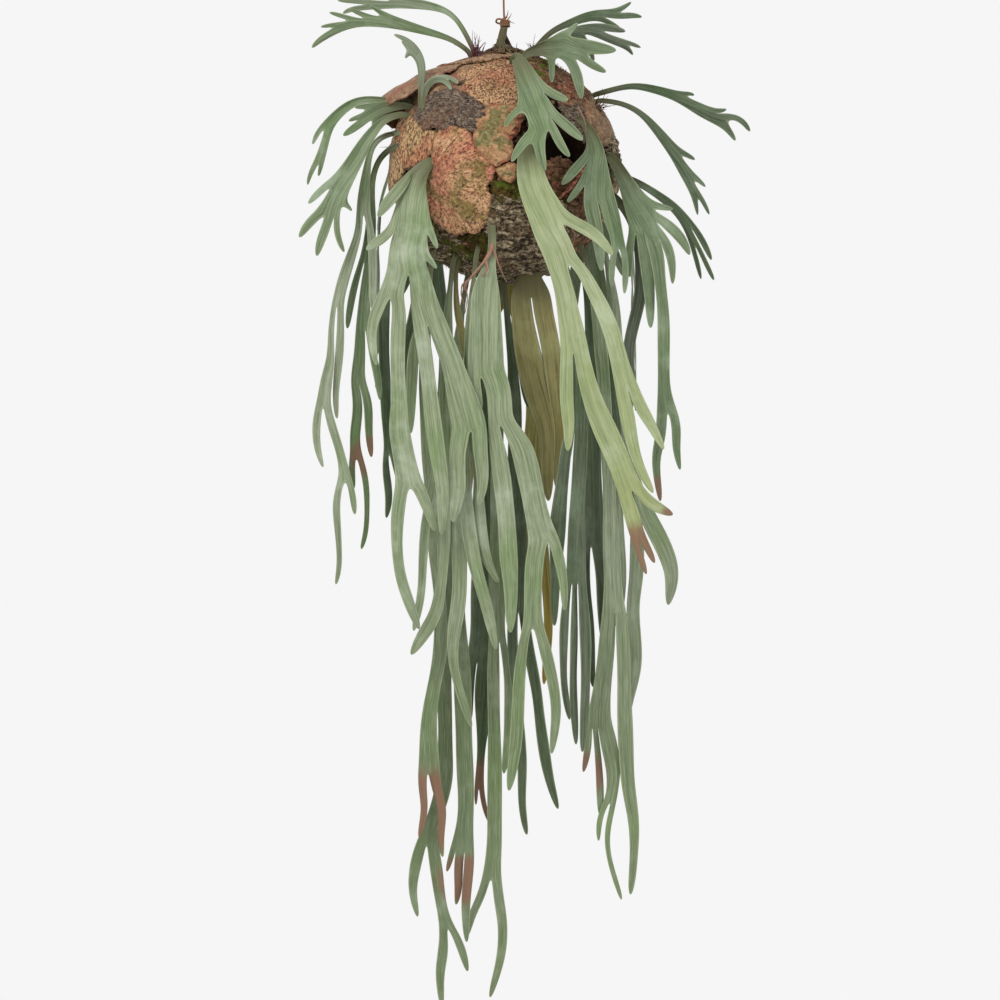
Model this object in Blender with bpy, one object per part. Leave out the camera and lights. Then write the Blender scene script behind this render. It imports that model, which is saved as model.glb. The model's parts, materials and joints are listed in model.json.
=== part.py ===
# Hanging staghorn fern in a netting basket, gathered at the top and hung on a cord.
# Origin: the hanging point, at the top of the cord's ring. +Z is up and the front faces -Y.
from collections import namedtuple
from math import cos, pi, radians, sin, sqrt

import bmesh
import bpy
from mathutils import Matrix, Vector

MM = 0.001

# Ball: moss core, netting basket round it, then the old shield fronds, bark and moss, in layers.
BALL_Z = -252                    # centre of the ball, in millimetres below the hanging point
CORE_RADIUS = 120
NET_RADIUS = 127.4
NET_WIRE = 1.6                   # thickness of the netting's strands
LAYERS = (130.2, 133.4, 136.6)   # inner radius of each layer of shields
SHELL = 2.2                      # thickness of a shield
NECK_TOP = -87                   # the netting is gathered to a neck that ends here
NECK_RISE = (38, 40)             # the core rises by this into the neck, within this distance of the axis
HOLLOW = (72, -248, 24, 36, 22)  # dark hollow: x, z, half width, half height, depth

# Hanging cord, its knots and its ring.
CORD_DIAMETER = 2.4
RING_RADIUS = 8
RING_WIRE = 2.4
TOP_KNOT = (-24.2, 4.2)          # centre height and half height
NECK_KNOT = (-78, 6.5)
TOUCH = 0.35                     # gap between pieces that touch

# Fronds.
BLADE = 1.2                      # thickness
ROW_STEP = 48                    # longest distance between two rows of a blade
TIP = 3.0                        # width of a blade's end
LOBE = 11.0                      # share of the row that a short lobe takes at its fork
FOLLOW = 90                      # run from a root to where the blade hangs at its own depth
FORK_LIFT = 2.0                  # how far two blades of one fork part in depth
LIFT_SHARE = 0.3                 # part of that distance which each row takes up
ROLL_RUN = 500                   # run over which a blade takes its full roll
SWAY = (5, 150)                  # depth by which all blades swing together, and its wave's length
CLEAR = 143                      # blades keep this far from the ball's centre

# depth: where the root sits and where the blade hangs, front is negative; roll: the blade's turn
# about its own path, at the root and at its tips; clear: distance kept from the ball's centre;
# turn: the whole frond's turn round the ball.
# path: (x, z, width) points; a list inside a path is a branch, and what follows it carries on.
Frond = namedtuple("Frond", "tone depth roll path clear turn", defaults=(CLEAR, 0))

FRONDS = {
    "frond_top_left_high": Frond("sage", (-4, 8), (0, -28), [
        (-38, -108, 5), (-46, -92, 5), (-56, -75, 5), (-70, -62, 6), (-100, -55, 10), (-130, -52, 14),
        [(-150, -43, 9), (-172, -36)], (-160, -56, 11), [(-184, -50, 7), (-204, -50)], (-188, -60, 7),
        (-196, -68)]),
    "frond_top_left_low": Frond("sage", (-20, -20), (0, 15), [
        (-44, -112, 5), (-55, -103, 5), (-72, -95, 6), (-100, -87, 8), (-120, -81, 11), (-142, -76, 15),
        [(-155, -62, 5), (-164, -56)], (-163, -76, 13), [(-179, -65, 6), (-189, -60)], (-181, -78, 11),
        [(-199, -69, 6), (-214, -65)], (-198, -83, 11), [(-213, -82, 5), (-223, -84)],
        (-211, -93, 8), (-225, -99, 7), (-233, -112)]),
    "frond_crown_small": Frond("sage", (-62, -72), (0, 0), [
        (-98, -180, 8), (-98, -162, 9),
        [(-88, -147, 9), (-72, -144, 10), [(-60, -150, 6), (-53, -156)], [(-66, -156, 6), (-62, -164)]],
        [(-98, -143, 8), (-99, -125, 8), [(-112, -114, 8), [(-119, -107, 5), (-124, -101)],
         [(-116, -119, 5), (-119, -125)]], (-107, -108, 6), (-118, -100, 5), (-135, -94)]], 144),
    "frond_left_arch": Frond("sage", (-28, -22), (0, 30), [
        (-119, -172, 5), (-142, -172, 5), (-165, -170, 7), (-182, -175, 9), (-198, -186, 11),
        (-212, -202, 12), [(-225, -210, 6), (-231, -228)], (-215, -222, 9), (-221, -242, 9),
        [(-221, -255, 5), (-224, -266)], [(-229, -253, 6), (-236, -264, 4), (-236, -277)]]),
    "frond_left_broad_small": Frond("sage", (-44, -38), (0, 10), [
        (-119, -179, 7), (-140, -180, 12), (-158, -187, 22), [(-155, -200, 7), (-159, -209)],
        [(-171, -180, 6), (-182, -182)], (-169, -196, 12), [(-180, -193, 6), (-189, -199)],
        (-180, -205, 10), (-196, -217)]),
    "frond_left_palmate": Frond("sage", (-52, -58), (-4, -22), [
        (-124, -190, 7), (-140, -192, 8), (-152, -204, 10), (-165, -222, 14), (-178, -245, 17),
        (-190, -265, 21), (-197, -276, 26), [(-218, -280, 9), (-237, -300)],
        (-203, -292, 24), [(-184, -300, 7), (-182, -308)], (-208, -306, 26),
        [(-228, -315, 12), (-240, -328, 9), (-247, -341)], [(-214, -328, 12), (-221, -345, 9), (-225, -363)],
        [(-202, -326, 8), (-198, -342, 6), (-190, -358)]]),
    "frond_left_long_front": Frond("sage", (-34, -30), (-6, -30), [
        (-129, -212, 5), (-146, -214, 5), (-158, -226, 5), (-163, -245, 6), (-166, -265, 9),
        (-168, -288, 14), (-169, -303, 15),
        [(-174, -330, 8), (-181, -352, 10), (-192, -385, 13), (-199, -412, 13),
         [(-207, -440, 6), (-208, -460, 6), (-208, -482, 8), (-213, -508, 13), (-216, -534, 14),
          [(-225, -562, 9), (-224, -590, 7), (-216, -616)],
          [(-207, -560, 9), (-197, -592, 9), (-190, -622, 12),
           [(-201, -652, 8), (-199, -695, 7), (-197, -735, 6), (-203, -757)],
           [(-181, -645, 7), (-179, -673)]]],
         [(-196, -440, 8), (-197, -470, 9), (-200, -502, 8), (-202, -530, 6), (-200, -558)]],
        [(-160, -328, 8), (-158, -350, 10), (-157, -380, 10), (-158, -410, 8), (-156, -432)]]),
    "frond_left_long_back": Frond("deep", (-14, -8), (12, 32), [
        (-132, -228, 6), (-148, -238, 6), (-158, -262, 6), (-160, -290, 7), (-161, -330, 12),
        (-165, -360, 14), [(-181, -398, 8), (-187, -430, 7), (-189, -449)], (-167, -400, 12),
        (-170, -440, 16), [(-158, -478, 8), (-152, -505, 8), (-149, -536)],
        (-174, -480, 13), (-177, -508, 16),
        [(-164, -535, 10), (-163, -570, 8), (-159, -604)],
        [(-176, -540, 11), (-180, -575, 11), (-178, -595, 10), [(-184, -615, 7), (-180, -642)],
         [(-167, -625, 7), (-165, -655, 6), (-166, -690, 5), (-173, -714)]]]),
    "frond_left_inner_back": Frond("deep", (6, 16), (20, 40), [
        (-112, -335, 8), (-126, -352, 9), (-140, -390, 12), (-145, -450, 13), (-142, -510, 12),
        (-142, -555, 10), (-139, -590, 9), [(-130, -612, 6), (-126, -635)], (-142, -615, 7),
        (-138, -650, 7), (-143, -677)]),
    "frond_front_left_large": Frond("sage", (-108, -134), (-10, -8), [
        (-92, -252, 14), (-103, -262, 20), [(-122, -278, 13), (-138, -296, 13), (-152, -318)],
        (-107, -280, 28),
        (-111, -308, 38), (-112, -326, 46), [(-138, -337, 13), (-152, -345, 11), (-167, -356)],
        [(-84, -342, 9), (-78, -357)], (-114, -346, 44), (-115, -362, 48), [(-85, -368, 8), (-79, -380)],
        (-116, -376, 48),
        [(-130, -390, 28), (-135, -406, 27), [(-149, -422, 15), (-158, -445, 12), (-156, -475, 8),
        (-151, -495)],
         [(-125, -426, 16), (-127, -465, 17), (-127, -500, 18), (-125, -540, 18), (-126, -565, 22),
          (-120, -600, 25), (-114, -630, 30), [(-126, -660, 15), (-128, -700, 13), (-124, -740, 13),
                                              (-114, -772, 12), (-100, -809)],
          [(-98, -645, 14), (-89, -668, 10), (-82, -692)]]],
        [(-100, -394, 27), (-96, -416, 32), (-91, -436, 36),
         [(-97, -462, 18), (-92, -500, 18), (-87, -540, 18), (-83, -575, 19), (-78, -608, 19),
          (-73, -645, 14), (-75, -697)],
         [(-75, -456, 24), (-63, -488, 27), (-54, -520, 32), (-46, -548, 37), (-42, -564, 38),
          [(-57, -598, 21), (-55, -640, 18), (-62, -682)], [(-29, -596, 18), (-25, -628, 13),
          (-31, -662)]]]]),
    "frond_front_centre": Frond("sage", (-118, -122), (0, 4), [
        (-15, -326, 8), (-14, -350, 8), (-15, -364, 8), (-19, -380, 15), (-22, -400, 30), (-22, -440, 38),
        (-22, -480, 42), (-22, -498, 42), [(-35, -518, 16), (-32, -534, 12), (-26, -548)],
        (-6, -522, 30), (-5, -556, 31),
        [(-7, -598, 20), (-1, -640, 21), (3, -680, 21), (5, -720, 21), (8, -762, 16), (7, -814)],
        [(20, -586, 25), (29, -620, 26), (35, -650, 26), (41, -680, 29), (47, -696, 32),
         [(65, -722, 13), (71, -752, 9), (72, -787)],
         [(36, -722, 21), (34, -760, 21), (34, -797, 23), [(21, -832, 12), (17, -880, 14), (15, -925, 15),
                                                         (12, -956, 13), (5, -1002)],
          [(49, -832, 14), (58, -870, 12), (62, -905, 11), (56, -958)]]]]),
    "frond_front_right_over": Frond("sage", (-60, -160), (0, 0), [
        (15, -122, 13), (21, -135, 18), (28, -152, 25), (34, -167, 33), [(62, -172, 12), (79, -178)],
        (36, -182, 38), [(6, -194, 9), (0, -213)], (44, -196, 34), [(76, -209, 13), (96, -227)],
        (46, -208, 30), [(64, -226, 11), (80, -247)], (36, -222, 26),
        [(14, -240, 9), (7, -254)], [(43, -244, 11), (50, -265)]], 155),
    "frond_front_right_long": Frond("lime", (-140, -149), (4, -6), [
        (26, -226, 14), (30, -255, 30), (35, -280, 36), (46, -304, 40), (56, -324, 44),
        [(90, -326, 15), (111, -338, 13), (131, -364)], (62, -350, 36), (68, -368, 35),
        [(92, -378, 14), (105, -402, 17), (119, -430, 18), (130, -460, 19), (138, -492, 22), (143, -510, 25),
         [(160, -538, 14), (176, -565, 10), (191, -595)], [(145, -546, 16), (151, -580, 14), (161, -614, 11),
                                                          (179, -647)]],
        [(71, -400, 24), (76, -430, 26), (81, -455, 29), (83, -470, 30), [(74, -495, 16), (74, -535, 16),
                                                                        (77, -565, 12), (75, -597)],
         [(95, -495, 19), (104, -530, 22), (118, -565, 25), (134, -600, 27), (147, -634, 29),
          [(172, -655, 15), (204, -671)], [(151, -668, 18), (158, -694, 16), [(172, -712, 8), (180, -730)],
                                          [(163, -722, 7), (170, -744)]]]]], 150),
    "frond_right_fan_inner": Frond("sage", (-92, -106), (10, 22), [
        (96, -202, 9), (105, -218, 12), (110, -234, 20), [(88, -254, 13), (66, -279)], (110, -254, 26),
        (109, -272, 36), [(84, -288, 9), (72, -300)], (112, -290, 36),
        [(129, -318, 18), (136, -345, 13), [(145, -372, 8), (143, -410)], (128, -372, 8), (128, -402)],
        [(108, -322, 16), (113, -350, 13), (116, -382)]]),
    "frond_right_fan_outer": Frond("sage", (-58, -80), (10, 26), [
        (130, -244, 12), (144, -268, 16), (154, -290, 26), (163, -306, 36), [(190, -303, 9), (206, -305)],
        (168, -320, 34), [(149, -352, 10), (150, -390)], [(199, -326, 13), (214, -342, 10), (223, -363)],
        [(167, -352, 14), (172, -392, 15), (174, -422, 11), (175, -450)],
        (179, -336, 22), [(196, -350, 11), (201, -374, 8), (201, -398)],
        (181, -352, 17), (185, -385, 14), (190, -430, 14),
        (190, -472, 13), (190, -512, 15), (193, -540, 20), [(187, -572, 10), (180, -604, 10), (187, -657)],
        [(206, -562, 9), (204, -590, 8), (211, -620)]]),
    "frond_right_hanging_thin": Frond("deep", (-44, -58), (10, 34), [
        (133, -290, 9), (150, -312, 9), (162, -350, 12), (163, -400, 14), (157, -432, 14), (150, -462, 13),
        (148, -488, 15), [(143, -505, 6), (144, -520)], [(154, -508, 6), (158, -532)]]),
    "frond_right_arch_high": Frond("deep", (6, 14), (0, -20), [
        (111, -163, 5), (124, -160, 5), (140, -155, 5), (158, -153, 6), (176, -156, 8), (196, -161, 10),
        (214, -168, 12), [(224, -160, 6), (231, -166)], (232, -179, 14), (248, -188, 15),
        [(262, -184, 6), (270, -180)], (262, -194, 14), [(284, -190, 7), (298, -211)], [(272, -206, 7),
        (280, -222)]]),
    "frond_right_arch_low": Frond("deep", (-18, -18), (0, 25), [
        (117, -172, 5), (135, -174, 5), (150, -178, 5), (165, -187, 6), (179, -202, 8), (194, -220, 11),
        (206, -236, 13), [(222, -238, 7), (232, -245)], (214, -252, 14), (222, -266, 15),
        [(236, -268, 6), (244, -279)], (230, -284, 11), [(242, -298, 5), (248, -313)], [(231, -298, 5),
        (233, -314)]]),
    "frond_right_low_arch": Frond("deep", (-22, -30), (0, 18), [
        (135, -262, 7), (150, -266, 7), (166, -273, 7), (183, -285, 8), (202, -298, 10), (220, -320, 11),
        [(236, -336, 7), (243, -350, 6), (250, -367)], (227, -342, 9), [(232, -368, 5), (237, -391)],
        [(245, -374, 5), (253, -391)]]),
    "frond_top_right_high": Frond("deep", (10, 22), (0, 15), [
        (41, -104, 5), (50, -93, 5), (62, -84, 6), (80, -77, 8), (96, -70, 10), (115, -66, 11),
        [(134, -80, 6), (143, -86)], (132, -67, 10), [(146, -58, 6), (156, -49)], (146, -68, 8),
        (158, -66, 6),
        (169, -71)]),
    "frond_top_right_mid": Frond("deep", (-12, -6), (0, -15), [
        (45, -110, 5), (56, -99, 6), (70, -92, 8), (90, -87, 12), [(102, -106, 8), (109, -128)],
        (112, -86, 16), [(130, -99, 9), (145, -103, 8), [(152, -110, 5), (156, -119)], [(157, -104, 5),
        (167, -109)]],
        (128, -84, 9), (150, -89)]),
    "frond_top_right_broad": Frond("sage", (-52, -66), (0, 10), [
        (28, -117, 9), (43, -111, 12), (56, -110, 22), [(57, -135, 9), (57, -158)], (70, -107, 32),
        [(85, -88, 8), (89, -78)], (82, -114, 34), [(88, -142, 14), (90, -158, 10), (93, -176)],
        (95, -113, 26),
        [(108, -133, 9), (125, -141)], (110, -111, 15), (138, -114)], 150),
    "frond_olive_pair": Frond("olive", (-40, -44), (-4, 16), [
        (30, -390, 34), (31, -402, 46),
        [(21, -424, 25), (26, -463, 30), (38, -517, 31), (51, -566, 24), (52, -608, 16), (53, -657)],
        [(47, -426, 23), (55, -463, 22), (62, -517, 20), (67, -560, 17), (66, -600, 12), (62, -640)]]),
    "frond_olive_left": Frond("olive", (-62, -66), (0, -18), [
        (-58, -380, 9), (-57, -420, 11), (-50, -455, 10), (-44, -492)]),
    "frond_low_centre_right": Frond("deep", (-60, -92), (0, 26), [
        (76, -378, 9), (84, -420, 12), (88, -500, 15), (88, -560, 24),
        [(73, -600, 13), (66, -670, 18), (62, -730, 13), (60, -806)], (89, -640, 18), (87, -700, 18),
        (86, -745, 24), [(84, -800, 7), (83, -870, 9), (86, -948)],
        [(73, -790, 9), (71, -830, 9), (72, -872, 8), (79, -918)],
        [(97, -800, 12), (98, -850, 13), (97, -900, 10), (93, -957)]]),
    "frond_low_right_dark": Frond("deep", (-30, -34), (0, 30), [
        (92, -368, 11), (101, -405, 16), (106, -440, 22), [(125, -490, 13), (131, -530, 12), (140, -600)],
        (105, -500, 17), (106, -560, 20), (107, -620, 22), (108, -700, 25),
        [(99, -760, 10), (104, -820, 10), (107, -880)], (120, -742, 19), (122, -782, 17), (120, -832)]),
    "frond_low_right_pair": Frond("sage", (-10, 6), (14, 30), [
        (118, -336, 10), (130, -400, 14), (137, -480, 16), (143, -560, 18), (147, -620, 28),
        [(170, -664, 18), (191, -704, 20), (203, -742, 17), (197, -782)], [(136, -680, 16),
        (139, -730, 17), (140, -762, 14), (137, -814)],
        [(160, -680, 14), (160, -740, 17), (156, -782, 16), (159, -850, 15), (151, -892, 12), (142, -942)]]),
    "frond_low_right_long": Frond("sage", (-50, -48), (0, 22), [
        (98, -362, 11), (112, -440, 14), (120, -520, 15), (125, -620, 15), (128, -720, 18), (131, -780, 27),
        [(120, -850, 20), (115, -895, 24), (113, -920, 28), [(100, -952, 8), (94, -982)],
         [(113, -965, 7), (115, -1000, 8), (115, -1034)],
         [(125, -945, 18), (131, -978, 16), (129, -1008, 12), [(114, -1032, 6), (113, -1064)],
          [(124, -1045, 6), (125, -1078, 5), (142, -1135)]]],
        [(143, -850, 17), (145, -940, 17), (148, -990, 16), (155, -1040, 12), (155, -1085, 9),
        (151, -1129)]]),
    "frond_low_centre_brown": Frond("deep", (-24, -20), (-10, -24), [
        (0, -399, 11), (6, -450, 13), (13, -492, 18), [(24, -520, 7), (30, -544)],
        (13, -545, 16), (14, -620, 18), (20, -700, 18), (18, -780, 24),
        [(12, -850, 12), (19, -905, 9), (22, -960, 10), (22, -1020, 8), (28, -1058)],
        [(32, -840, 12), (40, -885, 12), (47, -940, 13), (54, -985, 10), (66, -1027)]]),
    "frond_low_left_fork": Frond("sage", (-68, -78), (0, -24), [
        (-62, -372, 10), (-68, -440, 14), (-68, -520, 18), (-68, -590, 28),
        [(-86, -636, 9), (-93, -677, 9), (-97, -720, 10), (-99, -766, 9), (-109, -812)],
        [(-71, -660, 15), (-73, -725, 14), (-80, -785, 14), (-96, -812, 14), (-113, -840)],
        [(-56, -650, 16), (-54, -700, 18), (-53, -765, 18), (-60, -812, 15), (-61, -842, 13), (-54, -875, 10),
         (-38, -927)]]),
    "frond_low_left_slim": Frond("sage", (-96, -104), (0, -14), [
        (-34, -366, 9), (-40, -430, 12), (-42, -520, 14), (-42, -590, 18),
        [(-46, -645, 15), (-42, -692, 16), (-34, -735, 16), (-22, -775, 14), (-9, -834)],
        [(-30, -645, 11), (-27, -700, 13), (-18, -732, 10), (-5, -753)]]),
    "frond_low_left_long": Frond("sage", (-42, -46), (-10, -30), [
        (-86, -362, 10), (-95, -430, 18), [(-108, -470, 12), (-111, -520, 12), (-112, -576)],
        (-94, -520, 16), (-88, -620, 16), (-80, -720, 16), (-75, -790, 15),
        (-77, -840, 16), (-88, -905, 17), (-90, -945, 20), (-89, -972, 24),
        [(-98, -996, 9), (-95, -1022, 7), (-103, -1060)], [(-80, -1000, 11), (-73, -1025, 9), (-77, -1055, 8),
                                                          (-73, -1084)]]),
    "frond_low_left_deep": Frond("sage", (-20, -24), (8, 22), [
        (-46, -392, 10), (-56, -470, 14), (-60, -580, 16), (-60, -700, 18), (-60, -790, 24),
        [(-51, -860, 20), (-50, -925, 20), (-47, -1000, 17), (-48, -1040, 20), (-50, -1068, 26),
         [(-64, -1082, 6), (-70, -1102)], [(-56, -1098, 9), (-55, -1120, 8), (-59, -1142)],
         [(-43, -1096, 10), (-47, -1135, 11), (-45, -1187)]],
        [(-73, -860, 17), (-72, -930, 17), (-73, -990, 17), (-84, -1030, 18), (-92, -1060, 23),
         [(-107, -1090, 12), (-111, -1122, 9), (-103, -1156)],
         [(-82, -1096, 13), (-78, -1130, 13), (-71, -1160, 15), [(-73, -1190, 11), (-78, -1222, 9),
         (-74, -1266)],
          [(-53, -1186, 9), (-43, -1222)]]]]),
    "frond_low_middle_long": Frond("sage", (4, 0), (0, 20), [
        (-6, -399, 10), (-9, -480, 13), (-8, -600, 15), (-10, -720, 15), (-9, -815, 20),
        [(4, -860, 9), (5, -905, 11), (4, -945, 9), (-1, -985)],
        [(-14, -870, 14), (-12, -935, 15), (-12, -1000, 16), (-12, -1060, 17), (-15, -1100, 20),
         [(-28, -1130, 10), (-38, -1148, 8), (-46, -1182)],
         [(-7, -1130, 12), (-2, -1162, 11), (-4, -1200, 10), (-18, -1254)]]]),
    "frond_low_middle_dark": Frond("deep", (24, 22), (0, 10), [
        (-16, -396, 12), (-22, -480, 18), (-24, -600, 24), (-22, -720, 30), (-21, -800, 36), (-26, -842, 38),
        [(-44, -882, 15), (-41, -924)], (-22, -886, 26), (-27, -950, 9),
        (-30, -992, 9), [(-25, -1018, 5), (-17, -1044)], [(-34, -1008, 4), (-34, -1024)]]),
    "frond_back_left": Frond("deep", (86, 108), (0, 24), [
        (-74, -300, 12), (-84, -320, 24), (-92, -345, 34), [(-114, -374, 10), (-126, -408)],
        (-90, -372, 30), [(-106, -420, 16), (-122, -490, 17), (-120, -550, 15), (-124, -590, 10),
        (-118, -640)],
        [(-78, -410, 16), (-70, -480, 18), (-72, -560, 22), [(-84, -610, 12), (-88, -680)],
         [(-62, -615, 13), (-58, -690, 10), (-66, -764)]]], 145),
    "frond_back_centre": Frond("olive", (112, 122), (0, 0), [
        (6, -318, 12), (4, -345, 18), (0, -375, 32), (2, -410, 40), [(-22, -450, 18), (-32, -520, 20),
         (-34, -600, 22), [(-46, -650, 11), (-50, -720)], [(-26, -660, 12), (-20, -740, 9), (-26, -806)]],
        [(26, -455, 20), (36, -530, 20), (34, -610, 22), (38, -680, 24), [(24, -730, 12), (20, -800)],
         [(50, -735, 12), (54, -810, 10), (48, -880)]]], 146),
    "frond_back_right": Frond("sage", (84, 106), (0, -24), [
        (92, -262, 12), (100, -290, 24), (104, -320, 34), [(132, -346, 11), (146, -384)], (100, -350, 32),
        [(116, -395, 16), (124, -460, 17), (120, -540, 20), [(134, -590, 10), (136, -640)],
         [(112, -600, 12), (108, -670, 8), (114, -728)]], [(84, -400, 14), (78, -470, 16), (82, -550, 12),
                                                          (74, -622)]], 150),
    "frond_back_crown": Frond("sage", (56, 128), (0, 0), [
        (-30, -136, 12), (-36, -160, 22), (-40, -190, 34), [(-70, -208, 11), (-84, -236)], (-34, -214, 34),
        [(-8, -240, 11), (2, -268)], (-44, -238, 28), [(-62, -274, 12), (-70, -312)],
        [(-34, -276, 12), (-32, -324)]], 154),
    "frond_right_side": Frond("sage", (-128, -152), (0, 12), [
        (44, -206, 10), (48, -226, 20), (50, -252, 34), [(76, -276, 11), (84, -312)], (50, -282, 36),
        [(60, -330, 16), (68, -400, 17), (66, -480, 19), [(76, -540, 10), (80, -604)],
         [(60, -560, 12), (60, -620, 9), (66, -684)]],
        [(38, -330, 15), (32, -400, 16), (36, -470, 14), (32, -548)]], 146, 90),
    "frond_left_side": Frond("deep", (-128, -150), (0, -12), [
        (-40, -214, 10), (-46, -236, 20), (-50, -262, 32), [(-76, -292, 11), (-82, -330)], (-50, -292, 34),
        [(-62, -330, 15), (-70, -380, 16), (-66, -430, 17), (-72, -470, 12), (-66, -520)],
        [(-38, -330, 15), (-32, -372, 15), (-36, -412, 17), [(-28, -440, 9), (-26, -480)],
         [(-42, -446, 10), (-44, -496)]]], 146, -90),
}

# Patches on the ball: a centre as (azimuth, elevation) with the front at azimuth 0 and the right at 90,
# the layer, and how far the patch reaches from its centre at even steps of angle, anticlockwise from +x.
Patch = namedtuple("Patch", "tone centre layer reach")
PATCHES = {
    "rim_sheet": Patch("rim", (-68, 44), 2, (54, 58, 46, 40, 56, 62, 58, 44, 30, 36)),
    "shield_top_tan": Patch("tan", (-12, 50), 1, (52, 46, 44, 52, 62, 52, 44, 48)),
    "shield_left_tan": Patch("tan", (-66, 12), 1, (36, 44, 44, 56, 64, 60, 48, 36)),
    "shield_front_pink": Patch("pink", (-24, -10), 2, (64, 50, 40, 46, 52, 62, 60, 52)),
    "shield_right_red": Patch("pink", (42, 38), 0, (44, 40, 52, 46, 44, 40, 34, 38)),
    "shield_right_brown": Patch("rim", (86, 14), 1, (44, 44, 46, 38, 34, 40, 62, 50)),
    "shield_back_left": Patch("tan", (-142, 8), 1, (62, 58, 66, 62, 58, 60, 66, 58)),
    "shield_back_right": Patch("pink", (140, -4), 2, (60, 66, 62, 56, 60, 64, 58, 62)),
    "bark_upper_left": Patch("bark", (-32, 28), 2, (34, 26, 22, 26, 34, 24, 22, 28)),
    "bark_lower_front": Patch("bark", (22, -42), 1, (46, 46, 40, 36, 46, 62, 84, 60)),
    "moss_lower_left": Patch("moss", (-52, -46), 0, (48, 42, 38, 48, 60, 64, 66, 56)),
    "moss_top_back": Patch("moss", (170, 44), 0, (56, 46, 36, 46, 56, 52, 48, 52)),
}
ROOTLETS = [(-16, -398, 5), (-20, -402, 5), [(-34, -408, 3), (-40, -425, 3), (-45, -456, 2)],
            [(-14, -410, 3), (-6, -428, 2)]]

TONES = {  # colour and roughness
    "sage": ((0.30, 0.42, 0.27), 0.55), "deep": ((0.12, 0.20, 0.10), 0.55), "lime": ((0.33, 0.42, 0.12), 0.5),
    "olive": ((0.24, 0.26, 0.07), 0.55), "rim": ((0.27, 0.16, 0.10), 0.7), "tan": ((0.50, 0.26, 0.13), 0.8),
    "pink": ((0.48, 0.21, 0.13), 0.8), "bark": ((0.13, 0.10, 0.08), 0.9), "moss": ((0.07, 0.08, 0.02), 1.0),
    "core": ((0.05, 0.03, 0.02), 1.0), "net": ((0.10, 0.22, 0.07), 0.6), "cord": ((0.20, 0.09, 0.05), 0.8),
    "steel": ((0.55, 0.55, 0.55), 0.35),
}


def clear_scene():
    for item in list(bpy.data.objects):
        bpy.data.objects.remove(item, do_unlink=True)


def material(name, tone, metallic=0.0):
    colour, roughness = TONES[tone]
    made = bpy.data.materials.new(name)
    made.use_nodes = True
    shader = made.node_tree.nodes["Principled BSDF"]
    shader.inputs["Base Color"].default_value = (*colour, 1)
    shader.inputs["Roughness"].default_value = roughness
    shader.inputs["Metallic"].default_value = metallic
    return made


def add_object(name, data, tone, metallic=0.0):
    item = bpy.data.objects.new(name, data)
    bpy.context.scene.collection.objects.link(item)
    data.materials.append(material(name, tone, metallic))
    return item


def add_mesh(name, bm, tone, metallic=0.0):
    mesh = bpy.data.meshes.new(name)
    bm.to_mesh(mesh)
    bm.free()
    mesh.shade_smooth()
    mesh.set_sharp_from_angle(angle=radians(50))
    return add_object(name, mesh, tone, metallic)


def solidify(item, thickness, offset):
    shell = item.modifiers.new("thickness", "SOLIDIFY")
    shell.thickness = thickness * MM
    shell.offset = offset


def through(before, start, end, after, t):
    """Catmull-Rom curve from start to end."""
    return 0.5 * (2 * start + (end - before) * t + (2 * before - 5 * start + 4 * end - after) * t ** 2
                  + (3 * start - before - 3 * end + after) * t ** 3)


def step(t):
    t = min(max(t, 0), 1)
    return t * t * (3 - 2 * t)


# ---- fronds ----

def point(item):
    """A path's point as (x, z, width); a point without a width is a tip."""
    return Vector((*item, TIP)) if len(item) == 2 else Vector(item)


def split(path):
    """The points up to the first fork, and the branches that leave it."""
    trunk, branches = [], []
    for place, item in enumerate(path):
        if isinstance(item, list):
            branches.append(item)
        elif branches:
            return trunk, branches + [path[place:]]
        else:
            trunk.append(point(item))
    return trunk, branches


def in_order(branches, fork, heading):
    """Branches from the blade's left side to its right, seen from the front."""
    def turn(branch):
        away = (point(branch[0]) - fork).xy
        return heading.angle_signed(away, 0)
    return sorted(branches, key=turn, reverse=True)


def columns(path, heading):
    """The share of a row that each of a path's tips takes, from left to right."""
    trunk, branches = split(path)
    if not branches:
        return [1.0]
    if len(trunk) > 1:
        heading = (trunk[-1] - trunk[-2]).xy
    shares = []
    for branch in in_order(branches, trunk[-1], heading):
        first = point(branch[0])
        inner = columns(branch, (first - trunk[-1]).xy)
        weight = LOBE if len(branch[0]) == 2 else first.z
        shares += [weight * part / sum(inner) for part in inner]
    return shares


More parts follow.
